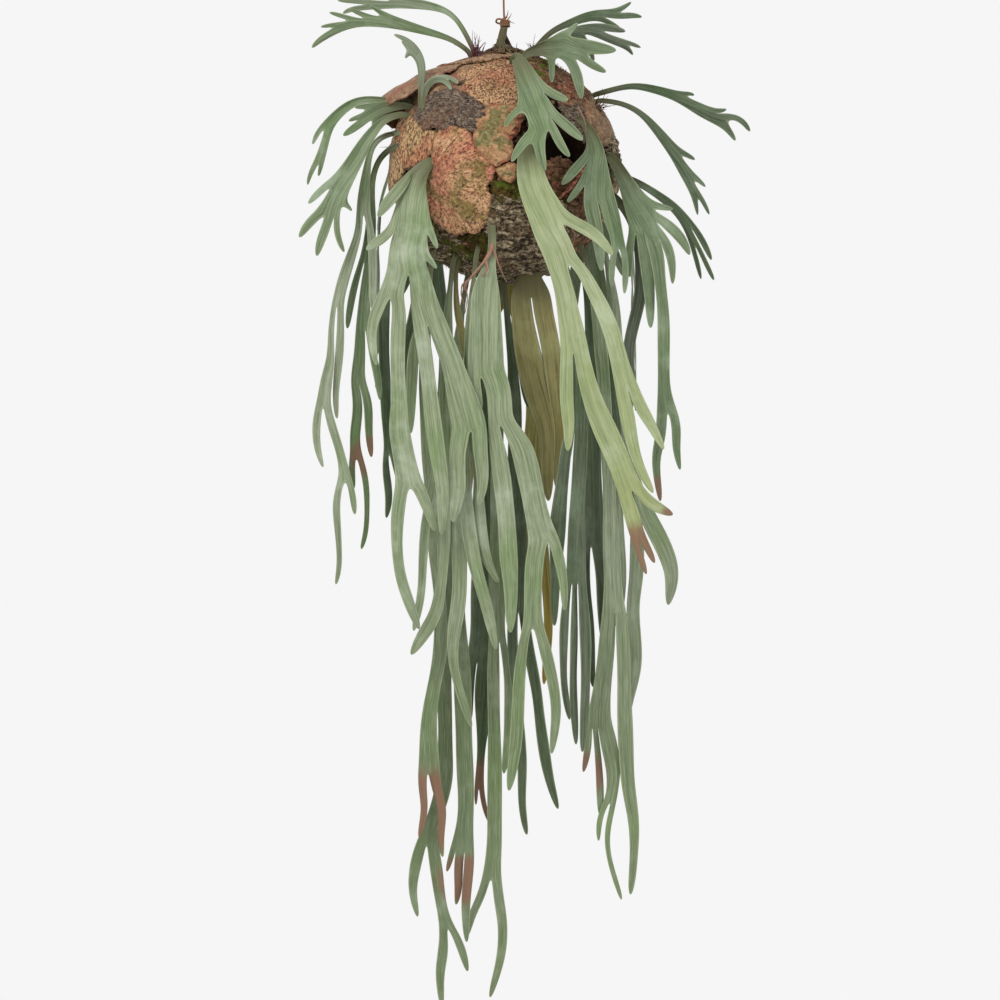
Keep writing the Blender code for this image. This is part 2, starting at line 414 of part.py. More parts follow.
class Blade:
    """Grows one frond as a sheet: rows of points along its path, shared out at each fork."""

    def __init__(self, depth, roll, clear):
        self.bm = bmesh.new()
        self.depth, self.roll, self.clear = depth, roll, clear

    def place(self, x, z, run, lift):
        """A point of the path in space: it leaves the root's depth for its own, and clears the ball."""
        root, hang = self.depth
        y = root + (hang - root) * step(run / FOLLOW) + lift
        room = self.clear ** 2 - x ** 2 - (z - BALL_Z) ** 2
        if room > y ** 2:
            y = sqrt(room) if hang > 0 and root > 0 else -sqrt(room)
        return Vector((x, y + SWAY[0] * sin((z - BALL_Z) / SWAY[1]) * step(run / FOLLOW), z))

    def row(self, centre, heading, width, run, shares):
        front = Vector((0, -1, 0))
        front = (front - heading * front.dot(heading)).normalized()
        roll = radians(self.roll[0] + (self.roll[1] - self.roll[0]) * step(run / ROLL_RUN))
        across = front.cross(heading) * cos(roll) - front * sin(roll)
        width /= cos(roll)
        at, total, points = 0, sum(shares), []
        for share in [0] + shares:
            at += share / total
            points.append(self.bm.verts.new((centre + across * width * (at - 0.5)) * MM))
        return points

    def grow(self, path, last_row, start, before, run, lift, raised):
        """Rows along a path from the row it starts on; `raised` is the depth it drifts to."""
        trunk, branches = split(path)
        shares = columns(path, (trunk[0] - start).xy)
        knots = [before, start] + trunk
        knots.append(2 * knots[-1] - knots[-2])
        for place in range(1, len(knots) - 2):
            four = knots[place - 1:place + 3]
            length = (four[2] - four[1]).xy.length
            count = max(1, round(length / ROW_STEP))
            for number in range(1, count + 1):
                t = number / count
                here, behind = through(*four, t), through(*four, t - 0.05)
                lift += (raised - lift) * LIFT_SHARE
                here_run = run + length * t
                centre = self.place(here.x, here.y, here_run, lift)
                heading = (centre - self.place(behind.x, behind.y, here_run, lift)).normalized()
                next_row = self.row(centre, heading, max(here.z, 1.5), here_run, shares)
                self.join(last_row, next_row)
                last_row = next_row
            run += length
        self.fork(branches, trunk[-1], knots[-3], last_row, run, lift)

    def fork(self, branches, end, before, last_row, run, lift):
        taken = 0
        heading = (end - before).xy
        for number, branch in enumerate(in_order(branches, end, heading)):
            count = len(columns(branch, (point(branch[0]) - end).xy))
            part = last_row[taken:taken + count + 1]
            taken += count
            middle = (part[0].co + part[-1].co) / 2 / MM
            width = (part[0].co - part[-1].co).length / MM
            start = Vector((middle.x, middle.z, width))
            raised = lift + (FORK_LIFT if number % 2 else -FORK_LIFT)
            self.grow(branch, part, start, start - (start - before) * 0.5, run, lift, raised)

    def join(self, row_a, row_b):
        for a, b, c, d in zip(row_a, row_a[1:], row_b[1:], row_b):
            self.bm.faces.new((a, d, c, b))


def sheet(path, depth, roll, clear, turn=0):
    blade = Blade(depth, roll, clear)
    start, ahead = point(path[0]), point(path[1])
    shares = columns(path, (ahead - start).xy)
    centre = blade.place(start.x, start.y, 0, 0)
    heading = (blade.place(ahead.x, ahead.y, 0, 0) - centre).normalized()
    first_row = blade.row(centre, heading, start.z, 0, shares)
    blade.grow(path[1:], first_row, start, 2 * start - ahead, 0, 0, 0)
    bmesh.ops.rotate(blade.bm, verts=blade.bm.verts, matrix=Matrix.Rotation(radians(turn), 3, "Z"))
    return blade.bm


def make_frond(name, frond):
    bm = sheet(frond.path, frond.depth, frond.roll, frond.clear, frond.turn)
    solidify(add_mesh(name, bm, frond.tone), BLADE, 0)


def make_rootlets():
    bm = sheet(ROOTLETS, (-52, -60), (0, 0), CLEAR)
    solidify(add_mesh("rootlets", bm, "cord"), 1.5, 0)


# ---- ball ----

def on_ball(azimuth, elevation, radius):
    a, e = radians(azimuth), radians(elevation)
    return Vector((radius * cos(e) * sin(a), -radius * cos(e) * cos(a), BALL_Z + radius * sin(e)))


def patch_outline(reach, count):
    """A smooth closed outline through the reach values, as (angle, distance)."""
    size = len(reach)
    for number in range(count):
        at = number * size / count
        place = int(at)
        four = [reach[(place + shift) % size] for shift in (-1, 0, 1, 2)]
        yield 2 * pi * number / count, through(*four, at - place)


def make_patch(name, patch, rings=3, spokes=18):
    radius = LAYERS[patch.layer]
    bm = bmesh.new()
    middle = on_ball(*patch.centre, 1) - Vector((0, 0, BALL_Z))
    right = Vector((0, 0, 1)).cross(middle).normalized()
    upward = middle.cross(right)
    centre = bm.verts.new(on_ball(*patch.centre, radius) * MM)
    spoke_rows = []
    for angle, reach in patch_outline(patch.reach, spokes):
        away = right * cos(angle) + upward * sin(angle)
        row = [centre]
        for ring in range(1, rings + 1):
            turn = reach * ring / rings / radius
            place = (middle * cos(turn) + away * sin(turn)) * radius + Vector((0, 0, BALL_Z))
            row.append(bm.verts.new(place * MM))
        spoke_rows.append(row)
    for row_a, row_b in zip(spoke_rows, spoke_rows[1:] + spoke_rows[:1]):
        bm.faces.new((centre, row_a[1], row_b[1]))
        for ring in range(1, rings):
            bm.faces.new((row_a[ring], row_a[ring + 1], row_b[ring + 1], row_b[ring]))
    solidify(add_mesh(name, bm, patch.tone), SHELL, 1)


def make_core():
    """Round core that rises into the neck, with the dark hollow pressed into its right front."""
    bm = bmesh.new()
    bmesh.ops.create_icosphere(bm, subdivisions=3, radius=CORE_RADIUS * MM)
    x0, z0, half_x, half_z, depth = HOLLOW
    for vert in bm.verts:
        place = vert.co / MM
        if place.y < 0:
            off = ((place.x - x0) / half_x) ** 2 + ((place.z + BALL_Z - z0) / half_z) ** 2
            place *= 1 - depth / CORE_RADIUS * step(1.5 - off)
        if place.z > 0:
            place.z += NECK_RISE[0] * max(0, 1 - place.xy.length / NECK_RISE[1]) ** 2
        vert.co = (place + Vector((0, 0, BALL_Z))) * MM
    add_mesh("moss_core", bm, "core")


def make_basket():
    """Netting ball of square meshes that runs up into the gathered neck."""
    rings, meridians = 8, 12
    neck = [(26, -114.5), (12, -104), (6.5, -95), (7.5, NECK_TOP)]
    belt = [(NET_RADIUS * sin(pi * k / rings), BALL_Z - NET_RADIUS * cos(pi * k / rings))
            for k in range(1, rings)]
    profile = [(14, BALL_Z - NET_RADIUS)] + belt + neck
    bm = bmesh.new()
    loops = []
    for radius, height in profile:
        loops.append([bm.verts.new(Vector((radius * cos(2 * pi * k / meridians),
                                           radius * sin(2 * pi * k / meridians), height)) * MM)
                      for k in range(meridians)])
    for low, high in zip(loops, loops[1:]):
        for k in range(meridians):
            other = (k + 1) % meridians
            bm.faces.new((low[k], low[other], high[other], high[k]))
    basket = add_mesh("netting_basket", bm, "net")
    strands = basket.modifiers.new("strands", "WIREFRAME")
    strands.thickness = NET_WIRE * MM
    strands.offset = 0
    strands.use_boundary = True
    strands.use_even_offset = False


def knot(name, height, half, width):
    bm = bmesh.new()
    bmesh.ops.create_icosphere(bm, subdivisions=2, radius=half * MM)
    bmesh.ops.scale(bm, vec=(width, width * 0.8, 1), verts=bm.verts)
    bmesh.ops.translate(bm, vec=(0, 0, height * MM), verts=bm.verts)
    add_mesh(name, bm, "cord")


def make_cord():
    top = TOP_KNOT[0] - TOP_KNOT[1] - TOUCH
    bottom = NECK_KNOT[0] + NECK_KNOT[1] + TOUCH
    curve = bpy.data.curves.new("hanging_cord", "CURVE")
    curve.dimensions = "3D"
    curve.bevel_depth = CORD_DIAMETER / 2 * MM
    curve.bevel_resolution = 2
    curve.use_fill_caps = True
    count = 8
    line = curve.splines.new("POLY")
    line.points.add(count - 1)
    for number, knot_point in enumerate(line.points):
        t = number / (count - 1)
        knot_point.co = (-0.6 * sin(pi * t) * MM, 0, (top + (bottom - top) * t) * MM, 1)
    add_object("hanging_cord", curve, "cord")


def make_ring():
    """Split-free wire ring in the front plane, from which the whole plant hangs."""
    bm = bmesh.new()
    centre = -RING_RADIUS - RING_WIRE / 2
    section = [bm.verts.new(Vector((RING_RADIUS + RING_WIRE / 2 * cos(pi * k / 4),
    RING_WIRE / 2 * sin(pi * k / 4),
                                    centre)) * MM) for k in range(8)]
    edges = [bm.edges.new((a, b)) for a, b in zip(section, section[1:] + section[:1])]
    bmesh.ops.spin(bm, geom=section + edges, cent=(0, 0, centre * MM), axis=(0, 1, 0), angle=2 * pi, steps=24,
                   use_merge=True)
    bmesh.ops.recalc_face_normals(bm, faces=bm.faces)
    add_mesh("hanging_ring", bm, "steel", 1.0)


def main():
    clear_scene()
    make_core()
    make_basket()
    for name, patch in PATCHES.items():
        make_patch(name, patch)
    for name, frond in FRONDS.items():
        make_frond(name, frond)
    make_rootlets()
    knot("cord_knot_top", *TOP_KNOT, 0.9)
    knot("cord_knot_neck", *NECK_KNOT, 1.1)
    make_cord()
    make_ring()


main()
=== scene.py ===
# Looks of the hanging staghorn fern: fronds, old shields, bark, moss, netting and cord.
import json
from math import asin, atan2, cos, exp, pi, radians, sin, sqrt
from random import Random

import bmesh
import bpy
from mathutils import Matrix, Vector, kdtree, noise


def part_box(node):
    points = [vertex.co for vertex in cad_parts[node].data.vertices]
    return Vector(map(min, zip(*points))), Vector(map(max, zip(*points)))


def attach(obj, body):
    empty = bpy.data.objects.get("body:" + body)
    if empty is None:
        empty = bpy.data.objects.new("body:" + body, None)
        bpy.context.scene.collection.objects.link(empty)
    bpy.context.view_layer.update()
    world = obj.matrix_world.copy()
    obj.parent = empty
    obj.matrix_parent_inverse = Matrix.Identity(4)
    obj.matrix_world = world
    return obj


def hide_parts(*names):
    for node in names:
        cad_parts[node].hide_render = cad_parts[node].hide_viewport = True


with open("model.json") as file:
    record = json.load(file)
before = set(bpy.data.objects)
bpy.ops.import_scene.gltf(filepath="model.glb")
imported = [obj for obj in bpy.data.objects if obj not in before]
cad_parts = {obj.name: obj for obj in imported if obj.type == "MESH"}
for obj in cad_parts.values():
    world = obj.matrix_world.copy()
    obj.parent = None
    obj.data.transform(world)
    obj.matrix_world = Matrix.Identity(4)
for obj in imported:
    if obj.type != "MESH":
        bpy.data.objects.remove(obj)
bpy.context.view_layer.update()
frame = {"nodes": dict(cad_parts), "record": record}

mm = 0.001
print("frame loaded,", len(frame["nodes"]), "nodes")


# shader recipes

class Value:
    # a node's output that can be used in sums
    def __init__(self, recipe, socket):
        self.recipe, self.socket = recipe, socket

    def work(self, operation, *terms):
        return self.recipe.node("ShaderNodeMath", {"operation": operation}, dict(enumerate(terms)))

    def __add__(self, other):
        return self.work("ADD", self, other)

    def __sub__(self, other):
        return self.work("SUBTRACT", self, other)

    def __rsub__(self, other):
        return self.work("SUBTRACT", other, self)

    def __mul__(self, other):
        return self.work("MULTIPLY", self, other)

    __radd__ = __add__
    __rmul__ = __mul__

    def most(self, other):
        return self.work("MAXIMUM", self, other)

    def wave(self):
        return self.work("SINE", self)

    def band(self, low, high):
        # 0 below low, 1 above high, smooth between
        return self.recipe.node("ShaderNodeMapRange", {"interpolation_type": "SMOOTHSTEP"},
                                {"Value": self, "From Min": low, "From Max": high})


class Recipe:
    # one material and its nodes
    def __init__(self, name):
        self.material = bpy.data.materials.new(name)
        self.material.use_nodes = True
        self.tree = self.material.node_tree
        self.shader = self.tree.nodes["Principled BSDF"]

    def node(self, kind, settings=None, inputs=None, out=0):
        made = self.tree.nodes.new(kind)
        for key, value in (settings or {}).items():
            if key == "stops":
                self.setStops(made.color_ramp, value)
            else:
                setattr(made, key, value)
        for key, value in (inputs or {}).items():
            self.plug(made.inputs[key], value)
        return Value(self, made.outputs[out])

    def setStops(self, ramp, stops):
        for number, (place, colour) in enumerate(stops):
            stop = ramp.elements[number] if number < 2 else ramp.elements.new(place)
            stop.position, stop.color = place, (*colour, 1)

    def plug(self, socket, value):
        if isinstance(value, Value):
            self.tree.links.new(value.socket, socket)
        elif socket.type == "RGBA" and len(value) == 3:
            socket.default_value = (*value, 1)
        else:
            socket.default_value = value

    def attribute(self, name, out="Fac"):
        return self.node("ShaderNodeAttribute", {"attribute_name": name}, out=out)

    def inMillimetres(self, name):
        return self.attribute(name) * 1000

    def place(self):
        return self.node("ShaderNodeTexCoord", out="Object")

    def stretch(self, vector, scale):
        return self.node("ShaderNodeMapping", inputs={"Vector": vector, "Scale": scale})

    def cloud(self, vector, scale, detail=3, rough=0.55, warp=0.0):
        return self.node("ShaderNodeTexNoise", inputs={"Vector": vector, "Scale": scale, "Detail": detail,
                                                       "Roughness": rough, "Distortion": warp})

    def cells(self, vector, scale, feature="F1", out="Distance"):
        return self.node("ShaderNodeTexVoronoi", {"feature": feature}, {"Vector": vector, "Scale": scale},
                         out)

    def mix(self, amount, first, second, blend="MIX"):
        return self.node("ShaderNodeMix", {"data_type": "RGBA", "blend_type": blend},
                         {0: amount, 6: first, 7: second}, 2)

    def tinted(self, colour, place, scale, low, high, amount, tint):
        # soft patches of another colour
        patches = self.cloud(place, scale, 3, 0.6).band(low, high)
        return self.mix(patches * amount, colour, coloured(*tint))

    def gritShadeAndHighlight(self, colour, place, amount, dark=(52, 36, 22), light=(226, 198, 160)):
        # fine specks of grit, also darkened as painted shade in tiny hollows and lightened as painted
        # highlight on crests
        grit = self.cloud(place, 230, 5, 0.75)
        colour = self.mix((1 - grit.band(0.38, 0.50)) * amount, colour, coloured(*dark))
        return self.mix(grit.band(0.52, 0.64) * amount * 0.7, colour, coloured(*light))

    def ramp(self, amount, *stops):
        return self.node("ShaderNodeValToRGB", {"stops": stops}, {"Fac": amount})

    def bump(self, height, depth, strength=1.0):
        return self.node("ShaderNodeBump", inputs={"Height": height, "Distance": depth * mm,
                                                   "Strength": strength})

    def finish(self, colour, roughness, height=None, depth=1.0, **fixed):
        self.plug(self.shader.inputs["Base Color"], colour)
        self.plug(self.shader.inputs["Roughness"], roughness)
        if height:
            self.plug(self.shader.inputs["Normal"], self.bump(height, depth))
        for key, value in fixed.items():
            self.shader.inputs[key.replace("_", " ")].default_value = value
        return self.material


studioLight = 1.3  # how much brighter than its own colour a lit surface is in this studio
warmth = 0.94  # how far blue is held back


def coloured(red, green, blue):
    # a colour as it looks when lit, counted 0 to 255, turned into the paint that the shader takes
    def light(part):
        part /= 255
        return (part / 12.92 if part <= 0.04045 else ((part + 0.055) / 1.055) ** 2.4) / studioLight
    return light(red), light(green), light(blue * warmth)


# helpers for pieces

def smoothStep(t):
    t = min(max(t, 0), 1)
    return t * t * (3 - 2 * t)


def curveThrough(before, start, end, after, t):
    # Catmull-Rom curve from start to end
    return 0.5 * (2 * start + (end - before) * t + (2 * before - 5 * start + 4 * end - after) * t ** 2
                  + (3 * start - before - 3 * end + after) * t ** 3)


def addPiece(name, data, material, slot, replaced=()):
    piece = bpy.data.objects.new(name, data)
    bpy.context.scene.collection.objects.link(piece)
    data.materials.append(material)
    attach(piece, "root")
    if replaced:
        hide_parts(*replaced)
    return piece


def meshFrom(bm, name):
    mesh = bpy.data.meshes.new(name)
    bm.to_mesh(mesh)
    bm.free()
    mesh.shade_smooth()
    return mesh


def thicken(piece, thickness, offset=0.0):
    shell = piece.modifiers.new("thickness", "SOLIDIFY")
    shell.thickness = thickness * mm
    shell.offset = offset


def smoothOut(piece, levels=1):
    finer = piece.modifiers.new("smooth", "SUBSURF")
    finer.levels = finer.render_levels = levels


def tube(name, paths, thickness, material, slot, replaced=(), kind="POLY", sides=3, taper=None):
    curve = bpy.data.curves.new(name, "CURVE")
    curve.dimensions = "3D"
    curve.bevel_depth = thickness / 2 * mm
    curve.bevel_resolution = sides
    curve.use_fill_caps = True
    for path in paths:
        line = curve.splines.new(kind)
        line.points.add(len(path) - 1)
        for number, (point, place) in enumerate(zip(line.points, path)):
            point.co = (*(Vector(place) * mm), 1)
            if taper:
                point.radius = taper(number / (len(path) - 1))
    return addPiece(name, curve, material, slot, replaced)


def smoothPath(points, count):
    # evenly many places on a smooth curve through the points, in millimetres
    points = [Vector(point) for point in points]
    ends = [2 * points[0] - points[1]] + points + [2 * points[-1] - points[-2]]
    made = []
    for number in range(count + 1):
        at = number / count * (len(points) - 1)
        place = min(int(at), len(points) - 2)
        made.append(curveThrough(*ends[place:place + 4], at - place))
    return made


# camera, light and room

view = {"height": -0.652, "side": -0.005, "distance": 12, "lens": 359, "floorDrop": -2.3, "floorSize": 15,
        "skyLight": 0.92}
# place, what it points at, size, power, colour
lamps = {"keyLight": ((-2.4, -3.8, 2.9), (0, 0, -0.5), 2.2, 150, (1, 0.99, 0.97)),
         "fillLight": ((3.4, -3.2, 0.2), (0, 0, -0.6), 3.0, 30, (0.97, 0.98, 1))}


def makeCamera():
    camera = bpy.data.objects.new("camera", bpy.data.cameras.new("camera"))
    bpy.context.scene.collection.objects.link(camera)
    camera.location = (view["side"], -view["distance"], view["height"])
    camera.rotation_euler = (radians(90), 0, 0)
    camera.data.lens = view["lens"]
    camera.data.sensor_width = 36
    camera.data.clip_end = 100
    bpy.context.scene.camera = camera


def softLight(name, place, aim, size, power, colour):
    lamp = bpy.data.lights.new(name, "AREA")
    lamp.energy, lamp.size, lamp.color = power, size, colour
    item = bpy.data.objects.new(name, lamp)
    bpy.context.scene.collection.objects.link(item)
    item.location = place
    item.rotation_euler = (Vector(place) - Vector(aim)).to_track_quat("Z", "Y").to_euler()


def makeRoom():
    # a round pale floor far below, under an even white sky
    bm = bmesh.new()
    bmesh.ops.create_circle(bm, cap_ends=True, segments=96, radius=view["floorSize"])
    bmesh.ops.translate(bm, vec=(0, 0, view["floorDrop"]), verts=bm.verts)
    room = bpy.data.objects.new("paleFloor", meshFrom(bm, "paleFloor"))
    bpy.context.scene.collection.objects.link(room)
    recipe = Recipe("paleFloor")
    tone = recipe.cloud(recipe.place(), 0.6)
    tone = recipe.ramp(tone, (0, (0.86, 0.86, 0.86)), (1, (0.9, 0.9, 0.9)))
    room.data.materials.append(recipe.finish(tone, 0.9))
    scene = bpy.context.scene
    scene.view_settings.view_transform = "Standard"
    scene.world = bpy.data.worlds.new("softSky")
    scene.world.use_nodes = True
    sky = scene.world.node_tree.nodes["Background"]
    sky.inputs["Color"].default_value = (1, 1, 1, 1)
    sky.inputs["Strength"].default_value = view["skyLight"]
    for name, settings in lamps.items():
        softLight(name, *settings)


makeCamera()
makeRoom()
print("camera and room made")


# cord, knots and ring

cordLook = {"diameter": 2.4, "top": -28.75, "bottom": -71.15, "bow": -0.6, "points": 24, "pitch": 2.3,
            "dark": (96, 62, 44), "light": (168, 122, 92)}


def twistedFibre(name, dark, light, turns=1900):
    recipe = Recipe(name)
    place = recipe.place()
    x = recipe.node("ShaderNodeSeparateXYZ", inputs={0: place}, out=0)
    z = recipe.node("ShaderNodeSeparateXYZ", inputs={0: place}, out=2)
    strands = ((x * 2600 + z * turns).wave() + 1) * 0.5
    hairs = recipe.cloud(recipe.stretch(place, (900, 900, 260)), 1.0, 4)
    colour = recipe.mix(strands * 0.6 + hairs * 0.5, coloured(*dark), coloured(*light))
    return recipe.finish(colour, 0.9, strands + hairs * 0.6, 0.5)


def wound(across, deep, low, count, perTurn, shift=0):
    # turns of cord round the neck or the ring's foot, a cord's thickness apart
    turns = [number / perTurn for number in range(count)]
    return [(across * cos(t * 2 * pi) + shift, deep * sin(t * 2 * pi), low + cordLook["pitch"] * t)
            for t in turns]


cordFibre = twistedFibre("cordFibre", cordLook["dark"], cordLook["light"])


def makeCord():
    top, bottom = cordLook["top"], cordLook["bottom"]
    count = cordLook["points"]
    path = [(cordLook["bow"] * sin(pi * k / count), 0, top + (bottom - top) * k / count)
            for k in range(count + 1)]
    cord = tube("hangingCord", [path], cordLook["diameter"], cordFibre, "cord", ["hanging_cord"], sides=5)
    # wraps round the neck of the netting, a loop to the left and two cut ends to the right
    neckKnot = tube("neckKnot", [
        wound(5.2, 4.6, -82.5, 52, 16, shift=1),
        smoothPath([(4, -4, -76), (-2, -5, -74), (-8, -3, -73.5), (-9.5, 0, -77), (-5, 1, -79)], 24),
        smoothPath([(-4, 3, -76), (0, 4, -72.5), (3, 0, -71), (-1, -4, -73), (-4, -2, -77)], 24)],
        2.3, cordFibre, "cord", ["cord_knot_neck"], sides=4)
    ends = tube("cordEnds", [
        smoothPath([(2, -4, -76), (6, -4.5, -72), (9, -4, -66.5)], 10),
        smoothPath([(2, -4, -76), (7, -4, -76.5), (12.5, -3, -79)], 10),
        smoothPath([(1, -4, -74), (4, -5, -68), (5, -4.5, -63)], 10)],
        1.9, cordFibre, "cord", sides=3, taper=lambda t: 1 - 0.75 * t)
    topKnot = tube("topKnot", [
        wound(2.6, 2.6, -27.6, 40, 14),
        smoothPath([(-2.6, 0, -21.5), (-2.4, -2.6, -18.4), (0, -2.8, -15.9), (2.2, -1, -17.6),
                    (2.6, 1.5, -21)], 20)],
        2.1, cordFibre, "cord", ["cord_knot_top"], sides=4)
    makeRing()


def makeRing():
    # bare wire ring, brushed along its length
    recipe = Recipe("ringWire")
    scratches = recipe.cloud(recipe.stretch(recipe.place(), (300, 1500, 300)), 1.0, 4)
    wire = recipe.finish(recipe.ramp(scratches, (0.2, (0.30, 0.29, 0.28)), (0.8, (0.62, 0.61, 0.60))),
                         scratches * 0.3 + 0.2, scratches, 0.1, Metallic=1.0)
    low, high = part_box("hanging_ring")
    centre, outer = (low + high) / 2, (high.x - low.x) / 2
    half = (high.y - low.y) / 2
    bm = bmesh.new()
    bmesh.ops.create_circle(bm, segments=20, radius=half, matrix=Matrix.Translation((outer - half, 0, 0)))
    bmesh.ops.rotate(bm, verts=bm.verts, cent=(outer - half, 0, 0), matrix=Matrix.Rotation(pi / 2, 3, "X"))
    bmesh.ops.rotate(bm, verts=bm.verts, matrix=Matrix.Rotation(pi / 2, 3, "X"))
    bmesh.ops.spin(bm, geom=bm.verts[:] + bm.edges[:], cent=(0, 0, 0), axis=(0, 0, 1), angle=2 * pi,
                   steps=72, use_merge=True)
    bmesh.ops.rotate(bm, verts=bm.verts, matrix=Matrix.Rotation(pi / 2, 3, "X"))
    bmesh.ops.translate(bm, vec=centre, verts=bm.verts)
    bmesh.ops.recalc_face_normals(bm, faces=bm.faces)
    return addPiece("hangingRing", meshFrom(bm, "hangingRing"), wire, "ring_wire", ["hanging_ring"])


makeCord()
print("cord made")


# green fronds

# lengths are in millimetres; a wave is (height, its length over 2 pi)
frondLook = {"rowStep": 7, "columns": 2, "thickness": 1.1, "tip": 4.2, "tipShape": 1.9, "spare": 1.3,
             "lobe": 11, "follow": 90, "lift": 2.0, "drift": 0.06, "sway": (5, 150), "clear": 143,
             "ballHeight": -252, "cup": 0.15, "ripple": (1.4, 17), "waver": (0.35, 41), "twist": (7, 95),
             "rollOver": 500, "widthWaves": ((0.05, 19), (0.04, 43)), "parting": 34, "easing": 12,
             "slim": 0.45, "slimOver": (15, 120), "lowRoot": -330, "slimWidth": 13, "stalkStep": 5,
             "stalkDepth": 124}
ballMiddle = Vector((0, 0, frondLook["ballHeight"]))
frondTones = {  # leaf, shaded leaf, greener leaf, greyer leaf, bloom, far end of a long blade
    "sage": ((157, 169, 141), (92, 110, 77), (122, 152, 90), (166, 169, 161),
             (188, 198, 184), (104, 121, 78)),
    "fern": ((136, 153, 120), (74, 94, 62), (106, 140, 78), (144, 148, 138),
             (160, 176, 156), (102, 117, 80)),
    # darker copy of the leaf for fronds that sit deep in the cluster: painted shade, as they get less light
    # there
    "deep": ((96, 112, 84), (44, 60, 38), (74, 106, 52), (114, 116, 110),
             (120, 136, 116), (94, 106, 72)),
    "lime": ((170, 180, 142), (122, 138, 92), (158, 172, 104), (186, 190, 168),
             (192, 202, 178), (162, 166, 80)),
    "olive": ((160, 152, 86), (100, 90, 36), (176, 150, 48), (160, 152, 108),
              (170, 168, 118), (188, 146, 36)),
}
# brown ends: frond, and its spots as (x, z, reach)
withered = {"frond_low_left_long": [(-90, -1026, 52)], "frond_low_left_deep": [(-50, -1108, 30)],
            "frond_low_middle_dark": [(-24, -1010, 44)], "frond_left_long_back": [(-162, -600, 24)],
            "frond_front_right_long": [(166, -716, 36), (198, -668, 10)],
            "frond_low_right_long": [(96, -980, 26)], "frond_right_fan_outer": [(186, -650, 26)]}


# noise scales along and across the blade or in space, and the tints that all the leaves share
leafLook = {"streaks": (560, 12, 1), "veins": (210, 5, 1), "lines": (1300, 30, 1), "mottle": (260, 60, 1),
            "patches": 13, "hues": 9.7, "specks": 900, "roughness": 0.44, "relief": 0.75,
            "rimTint": (192, 202, 172), "rootTint": (92, 88, 58),
            "deadTints": ((92, 58, 46), (160, 120, 100))}


def leafMaterial(name, leaf, shade, green, grey, bloom, end):
    recipe = Recipe(name)
    grain = recipe.attribute("grain", "Vector")
    edge = recipe.inMillimetres("edge")
    run = recipe.attribute("run")
    tint = recipe.attribute("tint")
    wither = recipe.attribute("wither")
    place = recipe.place()
    streaks = recipe.cloud(recipe.stretch(grain, leafLook["streaks"]), 1.0, 4, 0.62)
    veins = recipe.cloud(recipe.stretch(grain, leafLook["veins"]), 1.0, 2, 0.5)
    patches = recipe.cloud(place, leafLook["patches"], 4, 0.62)
    hues = recipe.cloud(recipe.stretch(place, (1, 1, 0.6)), leafLook["hues"], 3, 0.55)
    specks = recipe.cloud(place, leafLook["specks"], 2, 0.7)
    lines = recipe.cloud(recipe.stretch(grain, leafLook["lines"]), 1.0, 2, 0.5)
    mottle = recipe.cloud(recipe.stretch(grain, leafLook["mottle"]), 1.0, 3, 0.6)
    colour = recipe.mix(run.band(0.30, 0.60) * 0.8, coloured(*leaf), coloured(*end))
    colour = recipe.mix(tint.band(0.5, 1.0) * 0.75, colour, coloured(*grey))
    colour = recipe.mix(hues.band(0.50, 0.66) * 0.6, colour, coloured(*green))
    colour = recipe.mix((1 - hues).band(0.54, 0.68) * 0.35, colour, coloured(*grey))
    dark = streaks.band(0.36, 0.66) * 0.55 + veins.band(0.42, 0.64) * 0.38
    colour = recipe.mix(dark, colour, coloured(*shade))
    colour = recipe.mix((1 - tint).band(0.5, 1.0) * 0.4, colour, coloured(*shade))
    dusty = patches.band(0.50, 0.72) * (1 - run.band(0.25, 0.6) * 0.6)
    colour = recipe.mix(dusty * 0.65, colour, coloured(*bloom))
    colour = recipe.mix((1 - mottle.band(0.36, 0.52)) * 0.22, colour, coloured(*shade))
    colour = recipe.mix(lines.band(0.52, 0.68) * 0.35, colour, coloured(*bloom))
    # pale rim along each blade's edge: partly the blade's own pale margin, partly a painted edge highlight
    colour = recipe.mix((1 - edge.band(0.1, 0.8)) * 0.3, colour, coloured(*leafLook["rimTint"]))
    colour = recipe.mix((1 - run.band(0.004, 0.05)) * 0.75, colour, coloured(*leafLook["rootTint"]))
    dead = recipe.mix(streaks, *[coloured(*tint) for tint in leafLook["deadTints"]])
    colour = recipe.mix((wither + mottle * 0.5 + streaks * 0.5 - 0.5).band(0.12, 0.9) * 0.9, colour, dead)
    height = streaks * 0.7 + veins * 1.2 + specks * 0.12
    roughness = leafLook["roughness"] + patches * 0.2 + specks * 0.1
    return recipe.finish(colour, roughness, height, leafLook["relief"], Specular_IOR_Level=0.4)


def pathPoint(item):
    # (x, z, width); a point without a width is a tip
    return Vector((*item, frondLook["tip"])) if len(item) == 2 else Vector(item)


def splitPath(path):
    # the points up to the first fork, and the branches that leave it
    trunk, branches = [], []
    for place, item in enumerate(path):
        if isinstance(item, list):
            branches.append(item)
        elif branches:
            return trunk, branches + [path[place:]]
        else:
            trunk.append(pathPoint(item))
    return trunk, branches


def inOrder(branches, fork, heading):
    # branches from the blade's left side to its right
    return sorted(branches, key=lambda branch: -heading.angle_signed((pathPoint(branch[0]) - fork).xy, 0))


def shareOut(path, heading):
    # the part of a row that each of the path's tips takes, from left to right
    trunk, branches = splitPath(path)
    if not branches:
        return [1.0]
    if len(trunk) > 1:
        heading = (trunk[-1] - trunk[-2]).xy
    shares = []
    for branch in inOrder(branches, trunk[-1], heading):
        first = pathPoint(branch[0])
        inner = shareOut(branch, (first - trunk[-1]).xy)
        weight = frondLook["lobe"] if len(branch[0]) == 2 else first.z
        shares += [weight * part / sum(inner) for part in inner]
    return shares


